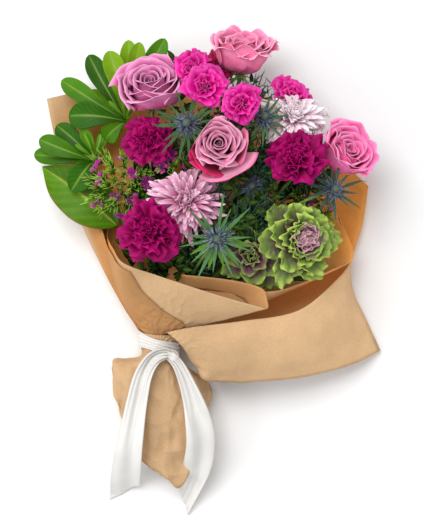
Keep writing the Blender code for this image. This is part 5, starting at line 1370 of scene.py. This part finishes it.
for number, tip in enumerate(TWIG_TIPS):
    tip = np.array(tip, float)
    way = unit(WAIST + (0, 0, 10) - tip)
    cross = unit(np.cross(way, [0, 0, 1]))
    # Each twig's dark green, varied at random leaf by leaf, is partly painted shade among the blooms.
    green = TWIG_GREENS_WITH_PAINTED_SHADE[number % 4]
    for k in range(TWIG_LEAVES):
        base = tip + way * (TWIG_STEP * k) + draw.normal(0, 3.5, 3)
        side = cross * (1 if k % 2 else -1)
        size = draw.uniform(9, 25) * (0.75 + 0.02 * k)
        away = side * draw.uniform(0.4, 1.1) - way * draw.uniform(0.1, 1.0) + (0, 0, draw.uniform(-0.1, 1.0))
        half_width = size * draw.uniform(0.16, 0.27)
        blade = leaf_blade(base, base + unit(away) * size, half_width, 2, OVATE, 0.3, 0.3, 0, 6, 5)
        twigs.add(blade, leaf_tone(blade, green * draw.uniform(0.4, 1.3), dye(96, 124, 50)))
    # Among them stand the fine blue-green needles of young sea holly leaves.
    if tip[0] > -20:
        foot = tip + way * 12 + draw.normal(0, 9, (NEEDLES, 3))
        away = draw.normal(0, 0.6, (NEEDLES, 3)) - way * 0.5 + (0, 0, 0.7)
        for needle in spine(foot, away, draw.uniform(9, 22, NEEDLES), 0.8):
            twigs.add(needle, dye(62, 92, 78) * draw.uniform(0.5, 1.6))
twigs.object("filler_twigs", twig_leaf, slot="leaf", thickness=0.3)

# ---------------------------------------------------------------- stems
# Every bloom stands on its own green stem, held together by the ribbon, and the stems end inside the
# paper. Under each bloom the stem widens to a green cup, and under a rose five sepals bend back.


def joined_to(start, edges, count):
    """Which of count points hang together with the one numbered start: each takes the lowest number among
    its neighbours over and over until nothing changes."""
    label = np.arange(count)
    while True:
        lowest = np.minimum(label[edges[:, 0]], label[edges[:, 1]])
        new = label.copy()
        np.minimum.at(new, edges[:, 0], lowest)
        np.minimum.at(new, edges[:, 1], lowest)
        if (new == label).all():
            return label == label[start]
        label = new


def stalk_of(node, name, keep=None):
    """A copy of a solid with its doubles merged. Where keep is given, only the points that it keeps stay,
    and of those only what hangs together with the point nearest the ribbon."""
    bm = bmesh.new()
    bm.from_mesh(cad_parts[node].data)
    bmesh.ops.remove_doubles(bm, verts=bm.verts[:], dist=0.00002)
    mesh = bpy.data.meshes.new(name)
    bm.to_mesh(mesh)
    if keep is not None:
        places = np.empty(len(mesh.vertices) * 3)
        mesh.vertices.foreach_get("co", places)
        places = places.reshape(-1, 3) / MM + MIDDLE
        edges = np.empty(len(mesh.edges) * 2, int)
        mesh.edges.foreach_get("vertices", edges)
        edges = edges.reshape(-1, 2)
        kept = keep(places)
        nearest = np.where(kept, np.linalg.norm(places - WAIST, axis=1), 1e9).argmin()
        joined = joined_to(nearest, edges[kept[edges].all(-1)], len(places))
        gone = np.nonzero(~(kept & joined))[0]
        bm.verts.ensure_lookup_table()
        bmesh.ops.delete(bm, geom=[bm.verts[int(i)] for i in gone], context="VERTS")
        bmesh.ops.holes_fill(bm, edges=[edge for edge in bm.edges if edge.is_boundary])
        bmesh.ops.recalc_face_normals(bm, faces=bm.faces[:])
        bm.to_mesh(mesh)
    bm.free()
    mesh.materials.clear()
    mesh.materials.append(stem_skin)
    mesh.polygons.foreach_set("use_smooth", np.ones(len(mesh.polygons), bool))
    stalk = bpy.data.objects.new(name, mesh)
    bpy.context.scene.collection.objects.link(stalk)
    rounding = stalk.modifiers.new("rounding", "SUBSURF")
    rounding.levels = rounding.render_levels = 1
    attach(stalk, "root")
    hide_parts(node)


stem_skin = bpy.data.materials.new("green_stems")
stem_skin.use_nodes = True
tree = stem_skin.node_tree
shader = tree.nodes["Principled BSDF"]
shader.inputs["Roughness"].default_value = 0.55
place = tree.nodes.new("ShaderNodeTexCoord").outputs["Object"]
streaks = noise(tree, place, 240, 3)
patches = ramp(tree, noise(tree, place, 30, 2), ((0.3, 0), (0.7, 1)))
green = mix(tree, "MIX", tuple(dye(74, 106, 44)), tuple(dye(128, 158, 76)), patches)
green = mix(tree, "MULTIPLY", green, ramp(tree, streaks, ((0.3, 0.75), (0.7, 1.08))), 0.8)
tree.links.new(green, shader.inputs["Base Color"])
bump(tree, shader, streaks, 0.2, 0.0004)

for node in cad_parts:
    if node.endswith("_stem"):
        stalk_of(node, node + "_round")
    elif node.endswith("_bracts") or node.startswith("sweet_william"):
        head = HEADS[node.replace("_bracts", "")]
        stalk_of(node, node + "_stalk", lambda p, head=head: ((p - head.base) @ head.axes[:, 2] < -4.5))
    elif node in FOLIAGE_TIPS:
        tip = np.array(FOLIAGE_TIPS[node], float)
        stalk_of(node, node + "_stalk", lambda p, tip=tip: ((p - tip) @ unit(WAIST - tip) > 6))
